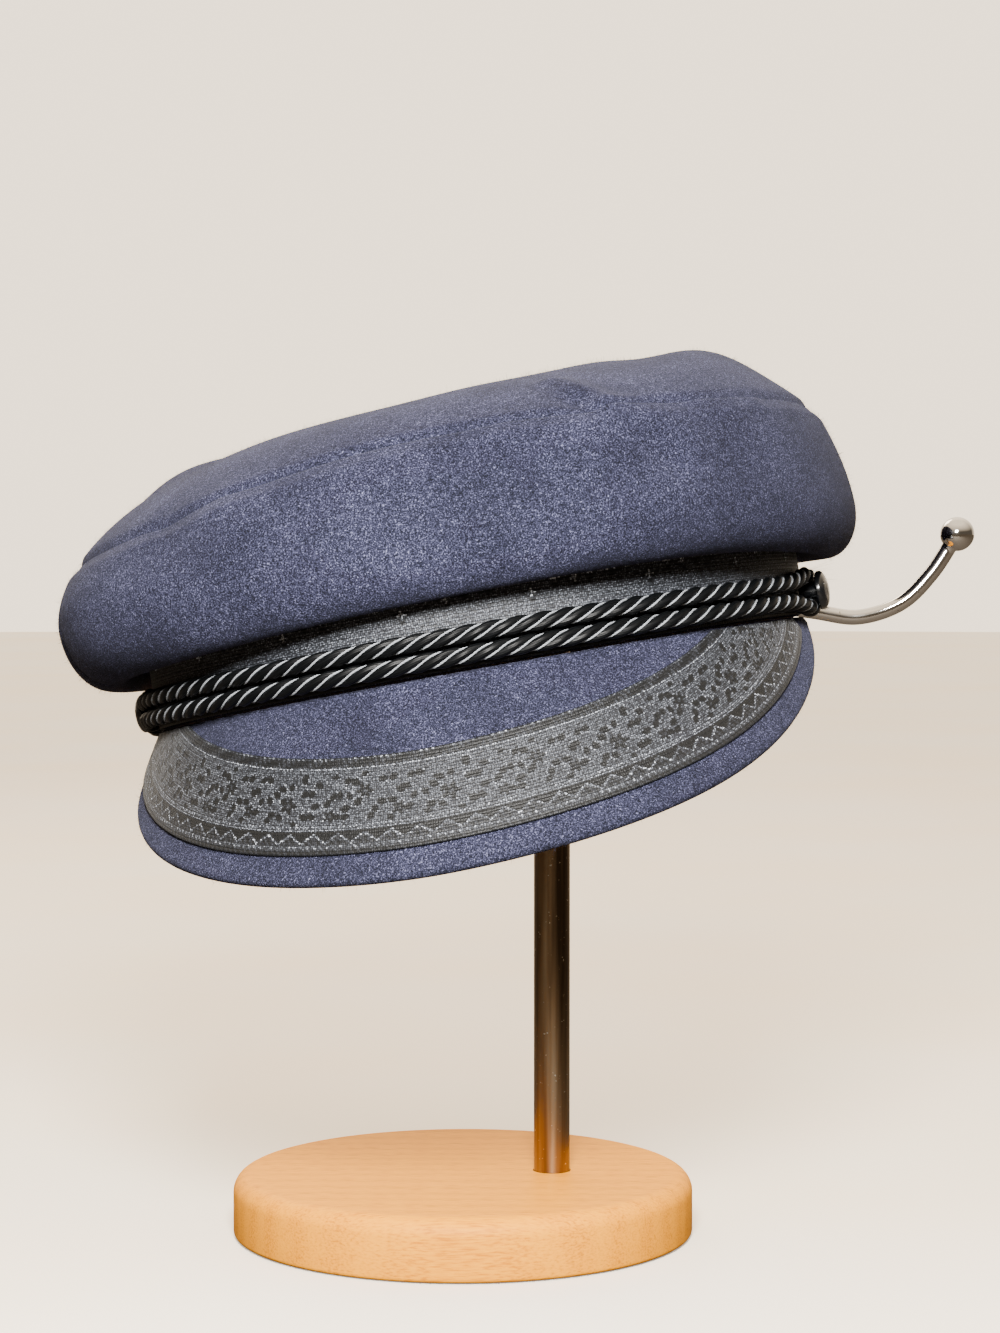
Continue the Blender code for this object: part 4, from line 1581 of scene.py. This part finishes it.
@dataclass(frozen=True)
class Studio:
    """Plain pale floor, soft lights and a camera at the photograph's angle."""

    distance: float = 0.860
    height: float = 0.1946
    sideways: float = 0.0105
    pitch: float = math.radians(2.3)
    focal_px: float = 3050.0
    image_px: float = 1333.0
    sensor_mm: float = 36.0
    floor_drop: float = 0.0003

    def build(self) -> None:
        """Build the camera, the lights and the floor."""
        self.add_camera()
        self.add_lamp("key", (0.0, -0.62, 0.41), 0.16, 23.0, "#fffcf8")
        self.add_lamp("back", (-0.45, 1.00, 1.10), 0.60, 9.0, "#ffecd4")
        self.add_world()
        bpy.ops.object.select_all(action="DESELECT")
        bpy.ops.mesh.primitive_circle_add(
            vertices=96, radius=6.0, fill_type="NGON", location=(0, 0, -self.floor_drop)
        )
        ground = bpy.context.object
        ground.name = "floor"
        ground.data.materials.append(PaintedFloor().build())
        ground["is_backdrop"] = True

    def add_camera(self) -> None:
        """Add the camera."""
        data = bpy.data.cameras.new("camera")
        data.sensor_width = self.sensor_mm
        data.lens = self.focal_px / self.image_px * self.sensor_mm
        eye = bpy.data.objects.new("camera", data)
        eye.location = (self.sideways, -self.distance, self.height)
        eye.rotation_euler = (math.pi / 2 - self.pitch, 0, 0)
        bpy.context.collection.objects.link(eye)
        bpy.context.scene.camera = eye

    def add_lamp(
        self, name: str, place: tuple[float, float, float], size: float, power: float, colour: str
    ) -> None:
        """Add a square lamp that faces the cap.

        Args:
            name: the lamp's name.
            place: its place.
            size: its side.
            power: its power in watts.
            colour: sRGB hex colour.
        """
        data = bpy.data.lights.new(name, "AREA")
        data.size = size
        data.energy = power
        data.color = linear(colour)[:3]
        lamp = bpy.data.objects.new(name, data)
        lamp.location = place
        away = Vector(place) - Vector((0, 0, self.height))
        lamp.rotation_euler = away.to_track_quat("Z", "Y").to_euler()
        bpy.context.collection.objects.link(lamp)

    def add_world(self) -> None:
        """Add an even warm room, a little darker towards the camera's side."""
        world = bpy.data.worlds.new("room")
        bpy.context.scene.world = world
        world.use_nodes = True
        tree = world.node_tree
        heading = add_node(tree, "TexCoord", "Generated")
        back, above = (
            add_node(
                tree, "MapRange", "Result", {"Value": axis, "From Min": low, "From Max": high, "To Max": light}
            )
            for axis, low, high, light in (
                (add_node(tree, "SeparateXYZ", "Y", {"Vector": heading}), 0.30, 0.90, 1.80),
                (add_node(tree, "SeparateXYZ", "Z", {"Vector": heading}), 0.25, 0.90, 2.10),
            )
        )
        room = add_node(tree, "Math", 0, {0: back, 1: above}, operation="ADD")
        room = add_node(tree, "Math", 0, {0: room, 1: 0.15}, operation="ADD")
        surface = tree.nodes["Background"]
        surface.inputs["Color"].default_value = linear("#f6e3c9")
        # Behind the cap the wall looks pale, whatever light it throws
        seen = add_node(tree, "LightPath", "Is Camera Ray")
        wall = {"Value": seen, "To Min": room, "To Max": 2.9}
        tree.links.new(add_node(tree, "MapRange", "Result", wall), surface.inputs["Strength"])


def write_sizes(frame_box: tuple[Vector, Vector]) -> None:
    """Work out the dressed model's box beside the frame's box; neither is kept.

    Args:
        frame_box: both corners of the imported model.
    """
    boxes = {"frame": frame_box, "dressed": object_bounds()}
    {name: [list(corner) for corner in box] for name, box in boxes.items()}


def main() -> None:
    """Build and dress every piece in order."""
    logging.basicConfig(level=logging.INFO)
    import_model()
    frame_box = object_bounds()
    Studio().build()
    wool = MeltonWool().build()
    brocade = Brocade().build()
    rayon = TwistedYarn("black_rayon_filament", "#020303", "#08090b", 0.42).build()
    thread = TwistedYarn("grey_groove_thread", "#565a5f", "#9a9ea3", 0.55, 0.35).build()
    form = CapForm()
    Stand(VarnishedBeech().build(), ChromePlate().build(), ReflectionStreakedTube().build()).build()
    Crown(form, wool).build()
    HeadBand(form, wool).build()
    BandRibbon(form, brocade).build()
    Peak(form, wool, brocade).build()
    cord = TrimCord(form, rayon, thread)
    cord.build()
    SideButtons(form, MouldedPlastic().build(), cord).build()
    write_sizes(frame_box)


if __name__ == "__main__":
    main()
